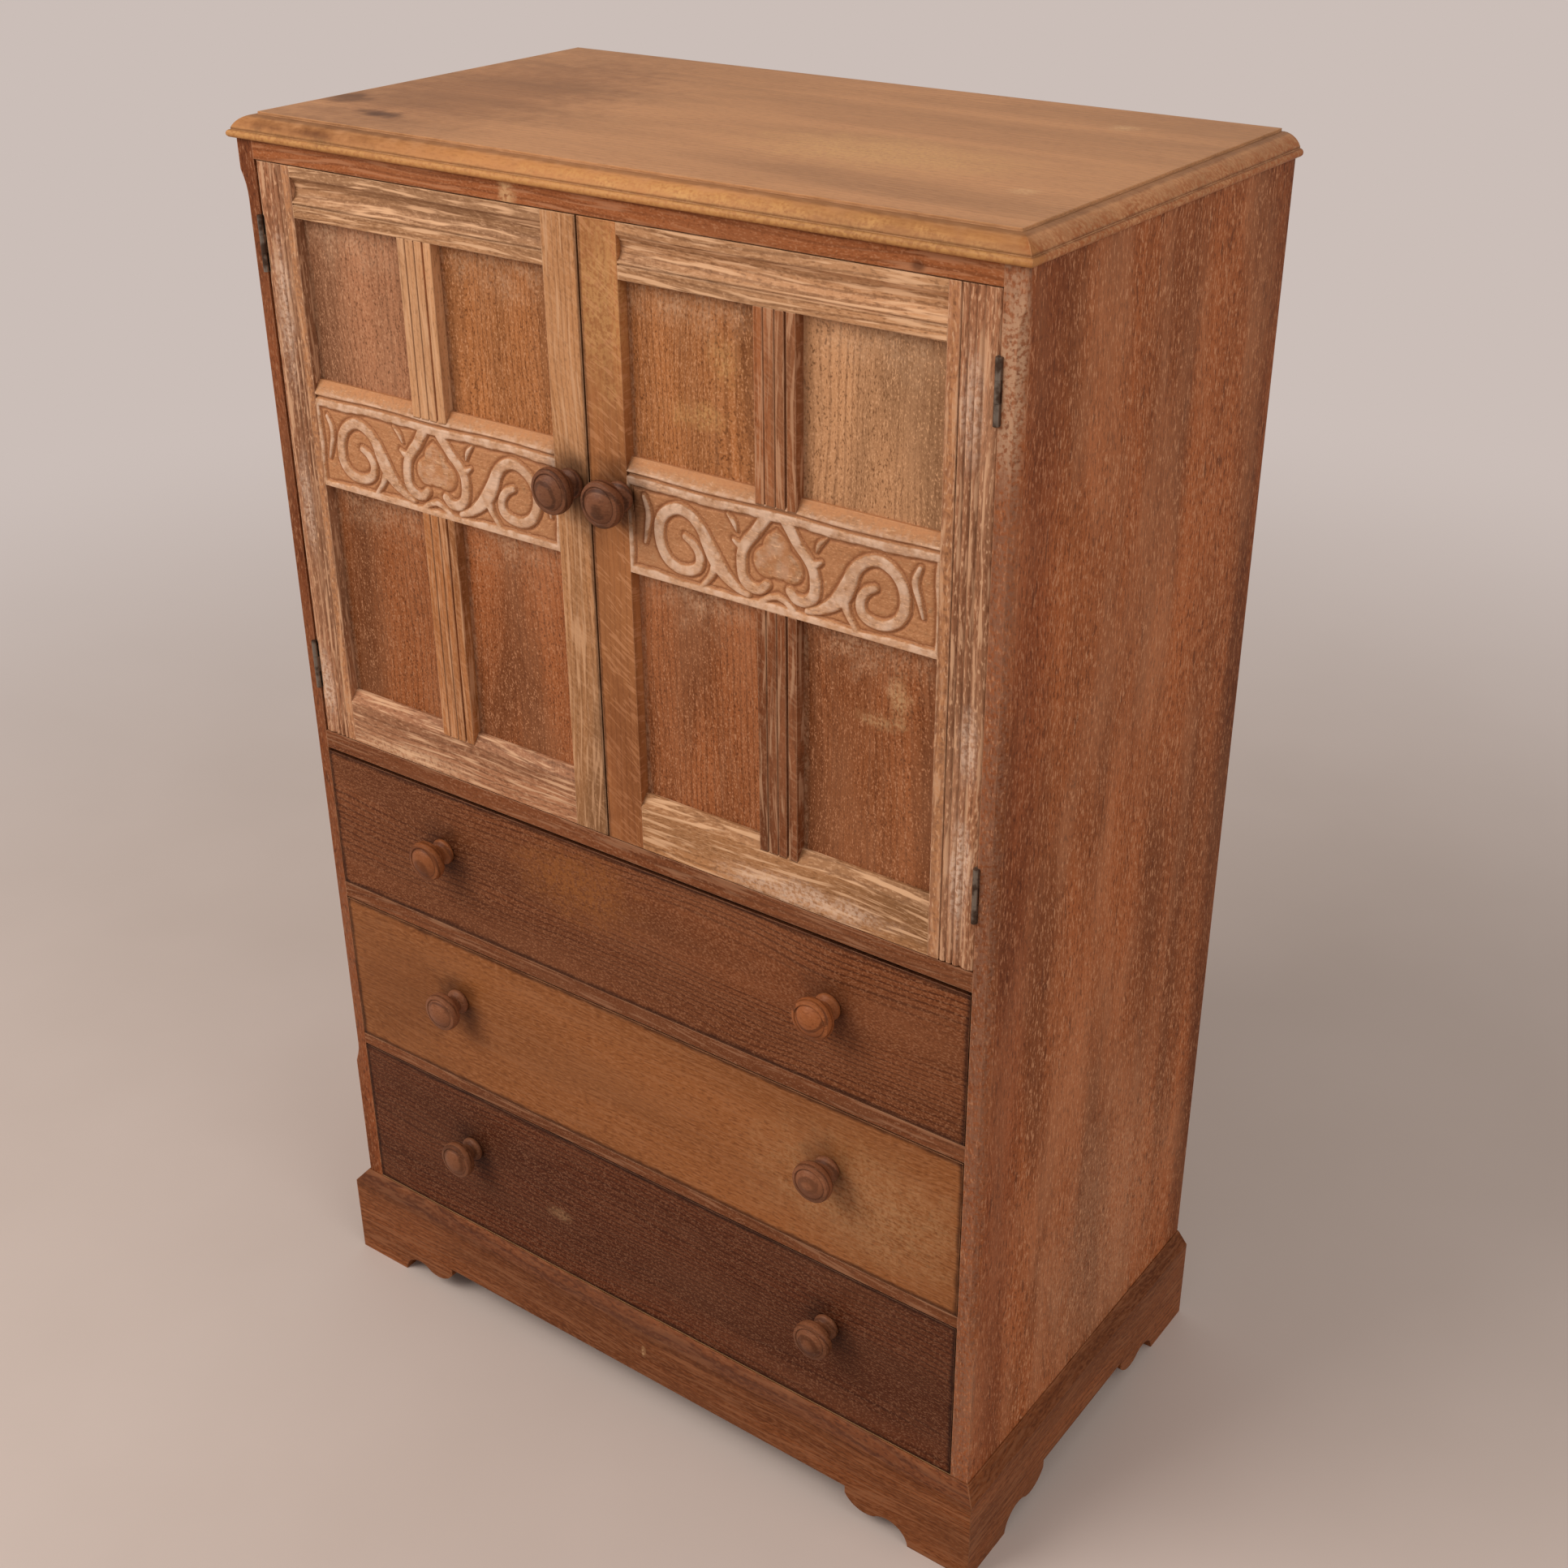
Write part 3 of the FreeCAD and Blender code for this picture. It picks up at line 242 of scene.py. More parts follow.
# Each kind of board: how far its tones spread, how white its lime is, how rough it is, and how strongly it
# shows each figure.
STYLES = {
    "smooth": dict(
        spread=0.14, lime=0.15, rough=0.5,
        bands=0.9, haze=0.08, lines=0.2, flecks=0.16, specks=0.25, streaks=0.26,
    ),
    "honey": dict(
        spread=0.28, lime=0.18, rough=0.5,
        bands=0.8, haze=0.1, lines=0.5, flecks=0.3, specks=0.6, streaks=0.4, flakes=0.3,
    ),
    "golden": dict(
        spread=0.18, lime=0.2, rough=0.5,
        bands=0.45, haze=0.12, lines=0.25, flecks=0.35, specks=0.6, fine=0.1, streaks=0.25, flakes=0.25,
    ),
    "flecked": dict(
        spread=0.3, lime=0.4, rough=0.6,
        bands=0.8, haze=0.25, lines=0.2, flecks=0.75, specks=0.8, fine=0.35, streaks=0.06, flakes=0.8,
    ),
    "drawer": dict(
        spread=0.24, lime=0.16, rough=0.58,
        bands=0.6, haze=0.12, lines=0.95, flecks=0.6, specks=0.55, fine=1.0, streaks=0.1,
    ),
    "worn": dict(
        spread=0.24, lime=0.32, rough=0.58,
        bands=0.6, haze=0.1, lines=0.5, flecks=0.4, specks=0.5, fine=0.6, streaks=0.45,
    ),
    "panel": dict(
        spread=0.3, lime=0.28, rough=0.6,
        bands=0.9, haze=0.2, lines=0.45, flecks=0.8, specks=0.95, fine=0.6, streaks=0.12, rays=0.1,
    ),
    "streaked": dict(
        spread=0.3, lime=0.62, rough=0.58,
        bands=0.8, haze=0.1, lines=0.6, flecks=0.4, specks=0.6, fine=0.3, streaks=0.9, rays=0.1,
    ),
    "stile": dict(
        spread=0.3, lime=0.5, rough=0.55,
        bands=0.9, haze=0.15, lines=0.35, flecks=0.3, specks=0.45, fine=0.4, streaks=0.6, rays=0.2,
    ),
    "rayed": dict(
        spread=0.24, lime=0.25, rough=0.55,
        bands=0.8, haze=0.1, lines=0.3, flecks=0.2, specks=0.3, fine=0.5, streaks=0.15, rays=0.5,
    ),
    "reeded": dict(
        spread=0.3, lime=0.6, rough=0.62,
        bands=0.6, haze=0.2, lines=0.4, flecks=0.75, specks=0.6, fine=0.2, streaks=0.75,
    ),
    "carved": dict(
        spread=0.22, lime=0.35, rough=0.62,
        bands=0.6, haze=0.25, lines=0.25, flecks=0.85, specks=0.8, fine=0.5, streaks=0.2,
    ),
    "inside": dict(
        spread=0.2, lime=0.1, rough=0.68,
        bands=0.5, lines=0.35, flecks=0.06, specks=0.2, fine=0.3, rays=0.1,
    ),
    "turned": dict(
        spread=0.3, lime=0.25, rough=0.45, edge=DARKENED_EDGE,
        bands=0.6, haze=0.1, lines=0.8, flecks=0.2, specks=0.4, fine=0.5, streaks=0.05,
    ),
}

# Which object axis runs along the grain, which across the face and which into it.
ALONG_X = "XZY"
ALONG_Z = "ZXY"
ALONG_Z_ON_END = "ZYX"
ALONG_X_FLAT = "XYZ"
ALONG_Y_ON_END = "YZX"

# How far apart in the grain two boards lie, so that each has a figure of its own.
BOARD_STEP = (3.1, 1.7, 2.3)
DARK_SPREAD = 1.5
LIME_LIFT = 1.25


def grain_vector(tree, order, shift):
    """Object coordinates in the order along, across and into the grain, at a board's own figure."""
    axes = add(tree, "SeparateXYZ", {0: object_place(tree)}).outputs
    ordered = add(tree, "CombineXYZ", {k: axes[axis] for k, axis in enumerate(order)}).outputs[0]
    return vectors(tree, "ADD", ordered, [shift * step for step in BOARD_STEP])


def oak_grain(tree, base, style, vector):
    """The oak group set to a board's colour and style."""
    spread = style["spread"]
    sockets = {
        "Grain": vector,
        "Dark": shaded(base, 1.0 - spread * DARK_SPREAD),
        "Light": shaded(base, 1.0 + spread),
        "Lime": between(shaded(base, LIME_LIFT), PALE, style["lime"]),
    }
    for figure in FIGURES:
        sockets[figure] = style.get(figure, 0.0)
    grain = tree.nodes.new("ShaderNodeGroup")
    grain.node_tree = OAK
    feed(tree, grain, sockets)
    return grain.outputs


# Features to the metre in a mark's ragged edge and in the grit that breaks it up.
MARK_RAGGED = 60.0
MARK_GRIT = 340.0
MARK_EDGE = (1.6, 0.7)
GRIT_STEP = (0.36, 0.6)
LEAST_GRIT = 0.2


def marked(tree, colour, marks):
    """A colour with soft-edged marks on it. A mark is a place, its reach each way, a tint and a strength.
    A strength below zero stains by multiplying, and one above zero covers."""
    if not marks:
        return colour
    place = object_place(tree)
    ragged = even_noise(tree, MARK_RAGGED, 4.0)
    grit = ranged(tree, even_noise(tree, MARK_GRIT, 2.0), *GRIT_STEP, LEAST_GRIT, 1.0)
    for centre, reach, tint, strength in marks:
        offset = vectors(tree, "DIVIDE", vectors(tree, "SUBTRACT", place, centre), reach)
        span = add(tree, "VectorMath", {0: offset}, operation="LENGTH").outputs["Value"]
        span = sums(tree, "ADD", span, ragged)
        share = ranged(tree, span, *MARK_EDGE, 0.0, abs(strength))
        if strength > 0:
            colour = blended(tree, sums(tree, "MULTIPLY", share, grit), colour, tint)
        else:
            colour = blended(tree, share, colour, tint, "MULTIPLY")
    return colour


def oak(name, base, style_name, order, shift, marks=()):
    """A procedural oak material for one board."""
    style = STYLES[style_name]
    made, tree, shader = new_material(name)
    grain = oak_grain(tree, base, style, grain_vector(tree, order, shift))
    finish_oak(tree, shader, marked(tree, grain["Colour"], marks), grain, style, base)
    return made


# Edges are worn as far in as a small radius reaches, and are rubbed unevenly.
EDGE_RADIUS = 0.0014
EDGE_STEP = (0.985, 0.82)
RUB = 45.0
RUB_STEP = (0.3, 0.6)
LEAST_RUBBED, MOST_RUBBED = 0.25, 0.9
LIME_ROUGHNESS = 0.2
PORE_STRENGTH = 0.3
PORE_DEPTH = 0.0005
OAK_SHINE = 0.12


def finish_oak(tree, shader, colour, grain, style, base):
    """Edges worn pale or darkened, sheen and open pores for an oak shader."""
    rounded = add(tree, "Bevel", {"Radius": EDGE_RADIUS}, samples=4).outputs[0]
    facing = add(tree, "NewGeometry").outputs["Normal"]
    turned = add(tree, "VectorMath", {0: rounded, 1: facing}, operation="DOT_PRODUCT").outputs["Value"]
    rubbed = ranged(tree, even_noise(tree, RUB, 3.0), *RUB_STEP, LEAST_RUBBED, MOST_RUBBED)
    edge = sums(tree, "MULTIPLY", ranged(tree, turned, *EDGE_STEP), rubbed)
    edge_tone = style.get("edge", RUBBED_EDGE)
    edge_lime = style["lime"] if edge_tone > 1.0 else 0.0
    colour = blended(tree, edge, colour, between(shaded(base, edge_tone), PALE, edge_lime))
    rough = style["rough"]
    bump = add(tree, "Bump", {
        "Height": grain["Height"], "Strength": PORE_STRENGTH, "Distance": PORE_DEPTH, "Normal": rounded,
    })
    feed(tree, shader, {
        "Base Color": colour,
        "Roughness": ranged(tree, grain["Limed"], 0.0, 1.0, rough, rough + LIME_ROUGHNESS),
        "Normal": bump.outputs[0],
        "Specular IOR Level": OAK_SHINE,
    })


BARE_STEEL = srgb(128, 116, 104)
BROWN_PATINA = srgb(74, 56, 44)
PATINA = 90.0
PATINA_STEP = (0.4, 0.6)
BARE_ROUGHNESS, PATINA_ROUGHNESS = 0.35, 0.6
METALLIC = 0.85


def steel():
    """Dulled steel with brown patina for the hinges."""
    made, tree, shader = new_material("hinge_steel")
    patina = ranged(tree, even_noise(tree, PATINA, 4.0), *PATINA_STEP)
    feed(tree, shader, {
        "Base Color": blended(tree, patina, BARE_STEEL, BROWN_PATINA),
        "Roughness": ranged(tree, patina, 0.0, 1.0, BARE_ROUGHNESS, PATINA_ROUGHNESS),
        "Metallic": METALLIC,
    })
    return made


# Oak tones, from the bleached top to the dark bottom drawer.
TOP_OAK = srgb(180, 128, 86)
PALE_OAK = srgb(180, 130, 90)
STRAW_OAK = srgb(166, 115, 74)
HONEY_OAK = srgb(158, 106, 74)
AMBER_OAK = srgb(162, 102, 58)
SIDE_OAK = srgb(154, 86, 46)
RUSSET_OAK = srgb(146, 84, 46)
GOLDEN_OAK = srgb(142, 85, 44)
CHESTNUT_OAK = srgb(136, 78, 42)
PLINTH_OAK = srgb(126, 69, 33)
BROWN_OAK = srgb(116, 64, 34)
DARK_OAK = srgb(92, 46, 23)
RAW_OAK = srgb(178, 136, 94)
AGED_OAK = srgb(160, 118, 78)
AMBER_KNOB = srgb(140, 80, 44)
BROWN_KNOB = srgb(122, 74, 48)
DARK_KNOB = srgb(106, 64, 42)

# The tone, style and grain of each board.
BOARDS = {
    "top_board": (TOP_OAK, "smooth", ALONG_X_FLAT),
    "side_left": (SIDE_OAK, "flecked", ALONG_Z_ON_END),
    "side_right": (SIDE_OAK, "flecked", ALONG_Z_ON_END),
    "top_rail": (RUSSET_OAK, "worn", ALONG_X),
    "drawer_rail_upper": (BROWN_OAK, "worn", ALONG_X),
    "drawer_rail_lower": (BROWN_OAK, "worn", ALONG_X),
    "cupboard_floor": (BROWN_OAK, "worn", ALONG_X),
    "bottom_rail": (AGED_OAK, "inside", ALONG_X),
    "shelf": (RAW_OAK, "inside", ALONG_X_FLAT),
    "drawer_runners": (RAW_OAK, "inside", ALONG_Y_ON_END),
    "back_panel": (AGED_OAK, "inside", ALONG_Z),
    "plinth_front": (PLINTH_OAK, "honey", ALONG_X),
    "plinth_left": (PLINTH_OAK, "honey", ALONG_Y_ON_END),
    "plinth_right": (PLINTH_OAK, "honey", ALONG_Y_ON_END),
    "left_hinge_stile": (HONEY_OAK, "reeded", ALONG_Z),
    "right_hinge_stile": (HONEY_OAK, "reeded", ALONG_Z),
    "left_meeting_stile": (STRAW_OAK, "stile", ALONG_Z),
    "right_meeting_stile": (AMBER_OAK, "rayed", ALONG_Z),
    "left_top_rail": (PALE_OAK, "streaked", ALONG_X),
    "right_top_rail": (PALE_OAK, "streaked", ALONG_X),
    "left_bottom_rail": (HONEY_OAK, "streaked", ALONG_X),
    "right_bottom_rail": (STRAW_OAK, "streaked", ALONG_X),
    "left_upper_muntin": (PALE_OAK, "stile", ALONG_Z),
    "left_lower_muntin": (AMBER_OAK, "stile", ALONG_Z),
    "right_upper_muntin": (CHESTNUT_OAK, "stile", ALONG_Z),
    "right_lower_muntin": (BROWN_OAK, "stile", ALONG_Z),
    "left_panel_upper_outer": (HONEY_OAK, "panel", ALONG_Z),
    "left_panel_upper_inner": (AMBER_OAK, "panel", ALONG_Z),
    "left_panel_lower_outer": (CHESTNUT_OAK, "panel", ALONG_Z),
    "left_panel_lower_inner": (RUSSET_OAK, "panel", ALONG_Z),
    "right_panel_upper_outer": (PALE_OAK, "panel", ALONG_Z),
    "right_panel_upper_inner": (AMBER_OAK, "panel", ALONG_Z),
    "right_panel_lower_outer": (RUSSET_OAK, "panel", ALONG_Z),
    "right_panel_lower_inner": (RUSSET_OAK, "panel", ALONG_Z),
    "left_frieze_rail": (PALE_OAK, "carved", ALONG_X),
    "right_frieze_rail": (PALE_OAK, "carved", ALONG_X),
    "left_knob": (DARK_KNOB, "turned", ALONG_X_FLAT),
    "right_knob": (DARK_KNOB, "turned", ALONG_X_FLAT),
    "drawer_top_knobs": (AMBER_KNOB, "turned", ALONG_X_FLAT),
    "drawer_middle_knobs": (BROWN_KNOB, "turned", ALONG_X_FLAT),
    "drawer_bottom_knobs": (BROWN_KNOB, "turned", ALONG_X_FLAT),
    "drawer_top_front": (BROWN_OAK, "drawer", ALONG_X),
    "drawer_middle_front": (GOLDEN_OAK, "golden", ALONG_X),
    "drawer_bottom_front": (DARK_OAK, "drawer", ALONG_X),
}
for level in ("top", "middle", "bottom"):
    for side in ("left", "right"):
        BOARDS[f"drawer_{level}_side_{side}"] = (RAW_OAK, "inside", ALONG_Y_ON_END)
    BOARDS[f"drawer_{level}_back"] = (RAW_OAK, "inside", ALONG_X)
    BOARDS[f"drawer_{level}_bottom"] = (RAW_OAK, "inside", ALONG_X_FLAT)

# Tints of the marks.
STAIN = srgb(150, 128, 112)
SOOT = srgb(96, 72, 58)
RED_STAIN = srgb(168, 122, 100)
YELLOW_STAIN = srgb(234, 212, 164)
BLEACHED = srgb(212, 170, 122)
WORN_YELLOW = srgb(206, 158, 100)
# Painted highlight for the nose and the ovolo of the front moulding.
MOULDING_HIGHLIGHT = srgb(216, 172, 120)
LIME_WHITE = srgb(226, 196, 172)
TAN = srgb(186, 128, 84)
WORN_CORNER = srgb(132, 92, 70)
END_BROWN = srgb(148, 80, 38)
AMBER_PATCH = srgb(146, 88, 42)

# Places on the case, worked out from the boxes of its boards.
top_low, top_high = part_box("top_board")
side_low, side_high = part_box("side_right")
plinth_low, plinth_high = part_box("plinth_front")
FRONT = side_low[1]
RIGHT_END = side_high[0]
RIGHT_EDGE = (side_low[0] + side_high[0]) / 2
MIDDLE = 0.65
TOP = top_high[2]
TOP_END = top_high[0] + 0.005
TOP_MIDDLE = (top_low[2] + top_high[2]) / 2
MOULDING = top_low[1] - 0.011
MOULDING_BACK = top_low[1] + 0.001
NOSE = top_low[2] + 0.0035
NOSE_QUIRK = top_low[2] + 0.0072
OVOLO = top_low[2] + 0.013
TOP_QUIRK = top_low[2] + 0.0176
PLINTH_FRONT = plinth_low[1]
PLINTH_END = plinth_high[0]
LEDGE = plinth_high[2] - 0.009

# How far marks reach. One that reaches the full length of a board has no end on it.
FULL = 2.0
MARK_DEPTH = 0.018
DEEP = 0.05
MOULDING_DEPTH = 0.03
NOSE_REACH, OVOLO_REACH = 0.009, 0.006
NOSE_QUIRK_REACH, TOP_QUIRK_REACH = 0.0016, 0.0014
LEDGE_REACH = 0.014
CORNER_WIDTH, CORNER_DEPTH = 0.03, 0.008
EDGE_REACH = 0.005
BEVEL_REACH = 0.012
DOOR_SHADE = 0.003
KNOB_STAIN = 0.036
HAZE_SHARE, HAZE_HEIGHT = 0.8, 0.06
HAZE_INSET = 0.008


def front_mark(x, z, wide, high, tint, strength):
    """A mark on the front that does not reach the back of a door."""
    return (x, FRONT, z), (wide, MARK_DEPTH, high), tint, strength


def top_mark(x, y, wide, deep, tint, strength):
    """A mark on the top."""
    return (x, y, TOP), (wide, deep, DEEP), tint, strength


def side_mark(y, z, wide, high, tint, strength):
    """A mark on the right end."""
    return (RIGHT_END, y, z), (DEEP, wide, high), tint, strength


def moulding_mark(x, z, wide, high, tint, strength):
    """A mark on the moulding along the front of the top."""
    return (x, MOULDING, z), (wide, MOULDING_DEPTH, high), tint, strength


def quirk_shade(z, high, strength):
    """Painted shade in a groove that runs round the moulding."""
    return (0.0, 0.0, z), (FULL, FULL, high), SOOT, strength


def corner_mark(z, high, tint, strength):
    """A mark on the front edge of the right side."""
    return (RIGHT_EDGE, FRONT, z), (CORNER_WIDTH, CORNER_DEPTH, high), tint, strength


def plinth_end_stain(x):
    """The stain on the ledge of a plinth end."""
    return (x, 0.0, LEDGE), (DEEP, FULL, LEDGE_REACH), STAIN, -0.35


# Marks of use and age, with some painted shade and painted highlights among them.
MARKS = {
    "top_board": [
        top_mark(-0.27, 0.0, 0.16, 0.24, STAIN, -0.45),
        top_mark(-0.352, -0.093, 0.032, 0.026, SOOT, -0.6),
        top_mark(-0.271, -0.129, 0.034, 0.014, SOOT, -0.75),
        top_mark(0.16, -0.03, 0.14, 0.07, WORN_YELLOW, 0.5),
        ((TOP_END, 0.0, TOP_MIDDLE), (0.022, FULL, DEEP), END_BROWN, 0.8),
        # Painted highlights along the moulding's nose and on the right part of the ovolo.
        moulding_mark(0.0, NOSE, FULL, NOSE_REACH, MOULDING_HIGHLIGHT, 0.5),
        moulding_mark(0.12, OVOLO, 0.3, OVOLO_REACH, MOULDING_HIGHLIGHT, 0.75),
        # Painted shade on the left part of the ovolo.
        moulding_mark(-0.3, OVOLO, 0.12, OVOLO_REACH, STAIN, -0.9),
        # Painted shade in the moulding's two quirks.
        quirk_shade(NOSE_QUIRK, NOSE_QUIRK_REACH, -0.5),
        quirk_shade(TOP_QUIRK, TOP_QUIRK_REACH, -0.4),
        ((0.0, MOULDING_BACK, TOP_MIDDLE), (FULL, 0.022, DEEP), YELLOW_STAIN, -0.7),
        top_mark(0.266, 0.157, 0.016, 0.014, BLEACHED, 0.5),
        top_mark(0.313, -0.086, 0.014, 0.012, BLEACHED, 0.45),
    ],
    "top_rail": [
        front_mark(-0.076, 1.191, 0.011, 0.02, BLEACHED, 0.6),
        front_mark(0.297, 1.189, 0.008, 0.006, SOOT, -0.6),
    ],
    "side_left": [
        # Painted shade on the left side's front edge, which faces the key lamp.
        front_mark(-RIGHT_EDGE, MIDDLE, CORNER_WIDTH, FULL, STAIN, -0.6),
        front_mark(-0.374, 0.42, 0.02, 0.2, WORN_CORNER, 0.4),
    ],
    "side_right": [
        side_mark(-0.165, MIDDLE, 0.045, FULL, RED_STAIN, -0.4),
        corner_mark(MIDDLE, FULL, WORN_CORNER, 0.7),
        corner_mark(1.13, 0.1, PALE, 0.4),
        side_mark(0.05, 0.24, 0.16, 0.2, PALE, 0.16),
        side_mark(0.225, MIDDLE, 0.04, FULL, STAIN, -0.5),
    ],
    "plinth_front": [
        ((0.0, PLINTH_FRONT, LEDGE), (FULL, DEEP, LEDGE_REACH), STAIN, -0.5),
        ((0.012, PLINTH_FRONT, 0.0675), (0.004, 0.01, 0.01), BLEACHED, 0.6),
    ],
    "plinth_right": [plinth_end_stain(PLINTH_END)],
    "plinth_left": [plinth_end_stain(-PLINTH_END)],
    "drawer_top_front": [front_mark(-0.05, 0.585, 0.09, 0.05, AMBER_PATCH, 0.65)],
    "drawer_middle_front": [
        front_mark(0.26, 0.37, 0.14, 0.08, BLEACHED, 0.22),
        front_mark(-0.3, 0.37, 0.12, 0.1, STAIN, -0.3),
    ],
    "drawer_bottom_front": [front_mark(-0.1, 0.18, 0.022, 0.009, BLEACHED, 0.2)],
    "right_panel_upper_inner": [
        front_mark(0.1, 1.045, 0.045, 0.018, WORN_YELLOW, 0.6),
        front_mark(0.122, 1.09, 0.022, 0.034, WORN_YELLOW, 0.5),
    ],
    "right_panel_lower_outer": [
        front_mark(0.284, 0.858, 0.015, 0.034, BLEACHED, 0.65),
        front_mark(0.264, 0.834, 0.032, 0.01, BLEACHED, 0.55),
    ],
    "left_hinge_stile": [
        front_mark(-0.3265, 0.9, 0.006, FULL, TAN, 0.6),
        front_mark(-0.352, 0.7, 0.012, 0.05, LIME_WHITE, 0.6),
        front_mark(-0.348, 0.88, 0.01, 0.06, LIME_WHITE, 0.45),
        front_mark(-0.346, 1.06, 0.012, 0.09, LIME_WHITE, 0.5),
    ],
    "right_hinge_stile": [
        front_mark(0.3265, 0.9, 0.006, FULL, TAN, 0.6),
        front_mark(0.346, 0.73, 0.012, 0.07, LIME_WHITE, 0.65),
        front_mark(0.35, 0.84, 0.01, 0.05, LIME_WHITE, 0.5),
        front_mark(0.342, 1.1, 0.012, 0.06, LIME_WHITE, 0.45),
    ],
    "right_meeting_stile": [
        front_mark(0.015, 1.12, 0.04, 0.1, WORN_YELLOW, 0.4),
        front_mark(0.015, 0.72, 0.04, 0.12, RED_STAIN, -0.35),
    ],
    "left_bottom_rail": [front_mark(-0.25, 0.655, 0.1, 0.012, PALE, 0.5)],
    "right_bottom_rail": [front_mark(0.2, 0.66, 0.1, 0.018, LIME_WHITE, 0.5)],
}


def add_mark(name, mark):
    """One more mark on a board."""
    MARKS.setdefault(name, []).append(mark)


def knob_stains(knobs, boards):
    """Dark rings left by hands round the knobs of a node."""
    low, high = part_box(knobs)
    radius = (high[2] - low[2]) / 2
    for x in (low[0] + radius, high[0] - radius):
        for board in boards:
            add_mark(board, front_mark(x, low[2] + radius, KNOB_STAIN, KNOB_STAIN, SOOT, -0.5))


def gap_shade(name):
    """Painted shade along the edges of a drawer front, beside the gaps round it."""
    low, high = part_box(name)
    for z in (low[2], high[2]):
        add_mark(name, front_mark(0.0, z, FULL, EDGE_REACH, SOOT, -0.75))
    for x in (low[0], high[0]):
        add_mark(name, front_mark(x, (low[2] + high[2]) / 2, EDGE_REACH, FULL, SOOT, -0.75))


def meeting_shade(name, x):
    """Painted shade on the edge of a stile where the doors meet, for the shadow in the gap between them."""
    low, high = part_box(name)
    add_mark(name, front_mark(x, (low[2] + high[2]) / 2, DOOR_SHADE, FULL, SOOT, -0.6))


def panel_haze(name):
    """Lime left along the top and the sides of a panel."""
    low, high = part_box(name)
    wide = (high[0] - low[0]) * HAZE_SHARE
    add_mark(name, front_mark((low[0] + high[0]) / 2, high[2], wide, HAZE_HEIGHT, PALE, 0.45))
    for x in (low[0] + HAZE_INSET, high[0] - HAZE_INSET):
        add_mark(name, front_mark(x, low[2], EDGE_REACH, FULL, PALE, 0.4))


# Painted shade along the stile edges where the two doors meet.
meeting_shade("left_meeting_stile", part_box("left_meeting_stile")[1][0])
meeting_shade("right_meeting_stile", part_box("right_meeting_stile")[0][0])
for door in ("left", "right"):
    frieze = f"{door}_frieze_rail"
    add_mark(frieze, front_mark(0.0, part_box(frieze)[1][2], FULL, BEVEL_REACH, TAN, 0.9))
    knob_stains(f"{door}_knob", (f"{door}_meeting_stile", frieze))
    for row in ("upper", "lower"):
        for column in ("outer", "inner"):
            panel_haze(f"{door}_panel_{row}_{column}")
for level in ("top", "middle", "bottom"):
    knob_stains(f"drawer_{level}_knobs", (f"drawer_{level}_front",))
    # Painted shade along each drawer front's edges.
    gap_shade(f"drawer_{level}_front")


def dress():
    """Give every CAD node its material."""
    hinge_steel = steel()
    for index, (name, node) in enumerate(sorted(nodes.items())):
        node.data.materials.clear()
        if name in BOARDS:
            made = oak(f"oak_{name}", *BOARDS[name], index + 1, MARKS.get(name, ()))
            node.data.materials.append(made)
        else:
            node.data.materials.append(hinge_steel)


dress()

# Carved friezes

MM = 0.001
RAIL_THICKNESS = 20 * MM
RAIL_TENON = 24 * MM
BEVEL_DEPTH, BEVEL_HEIGHT = 7 * MM, 10 * MM
GROOVE_NEAR, GROOVE_FAR, GROOVE_DEPTH = 10 * MM, 16 * MM, 8 * MM
RELIEF = 3 * MM
CELL = 0.8 * MM
CREASE = math.radians(50)

# The pattern is drawn in millimetres: u out from the middle of the rail, v up from its lower edge.
LOWER_BORDER, UPPER_BORDER, END_BORDER = 6.5, 72.5, 4.0
UPPER_LINE, LINE_WIDTH = 82.0, 2.2
BAND_WEIGHT = 0.3
CUT_WIDTH = 3.4
BAND_SOFTNESS, LEAF_SOFTNESS = 2.6, 3.0

# Heights run from 0 in the deepest cuts to 1 on the face of the rail.
GROUND_RISE, LEAF_RISE = 0.46, 0.62
PUNCH_RISE = 0.12
BEVEL_RELIEF = 0.42

# Bands are points of u, v and half width.
SCROLL = [
    (88.5, 42.5, 3.4), (81, 38.5, 4.2), (75.5, 30.5, 4.6), (76.5, 21, 4.8), (84.5, 15.5, 5.0),
    (96.5, 14.5, 5.0), (107, 19, 5.2), (113.5, 28.5, 5.4), (115, 40, 5.4), (112, 51.5, 5.4),
    (104, 60, 5.2), (92.5, 64.5, 5.2), (80.5, 61, 5.2), (71.5, 52.5, 5.8), (66, 41.5, 7.0),
    (59.5, 30, 7.6), (50.5, 20, 6.0), (39, 12, 4.2), (28, 8, 3.0),
]
SCROLL_FOOT = [(60, 26, 5.0), (65, 15, 3.2), (73, 5, 2.6)]
HEART = [
    (6, 80, 6.0), (13, 70, 5.6), (20, 60, 5.2), (28, 51.5, 5.2), (33, 43, 5.2), (34.5, 33, 5.4),
    (33, 22, 5.4), (26, 15.5, 5.2), (17, 15, 4.8), (11, 20, 4.4),
]
SPUR = [(30, 47, 4.2), (36, 48, 3.2), (41, 51, 1.8)]
SPRIG = [(46, 71, 1.4), (40, 65, 2.6), (37, 58, 1.2)]
CUSP = [(15, 5, 3.4), (8, 10, 3.0), (0, 12.5, 3.2)]
END_LEAF = [(128, 66, 2.4), (124, 54, 3.4), (127, 40, 2.8), (130, 28, 1.8)]
LEAF = [(0, 67, 1.0), (0, 60, 6.5), (0, 51, 13.5), (0, 43, 17.0)]
LEAF_LOBE = [(0, 44, 14.0), (11, 38, 13.0)]


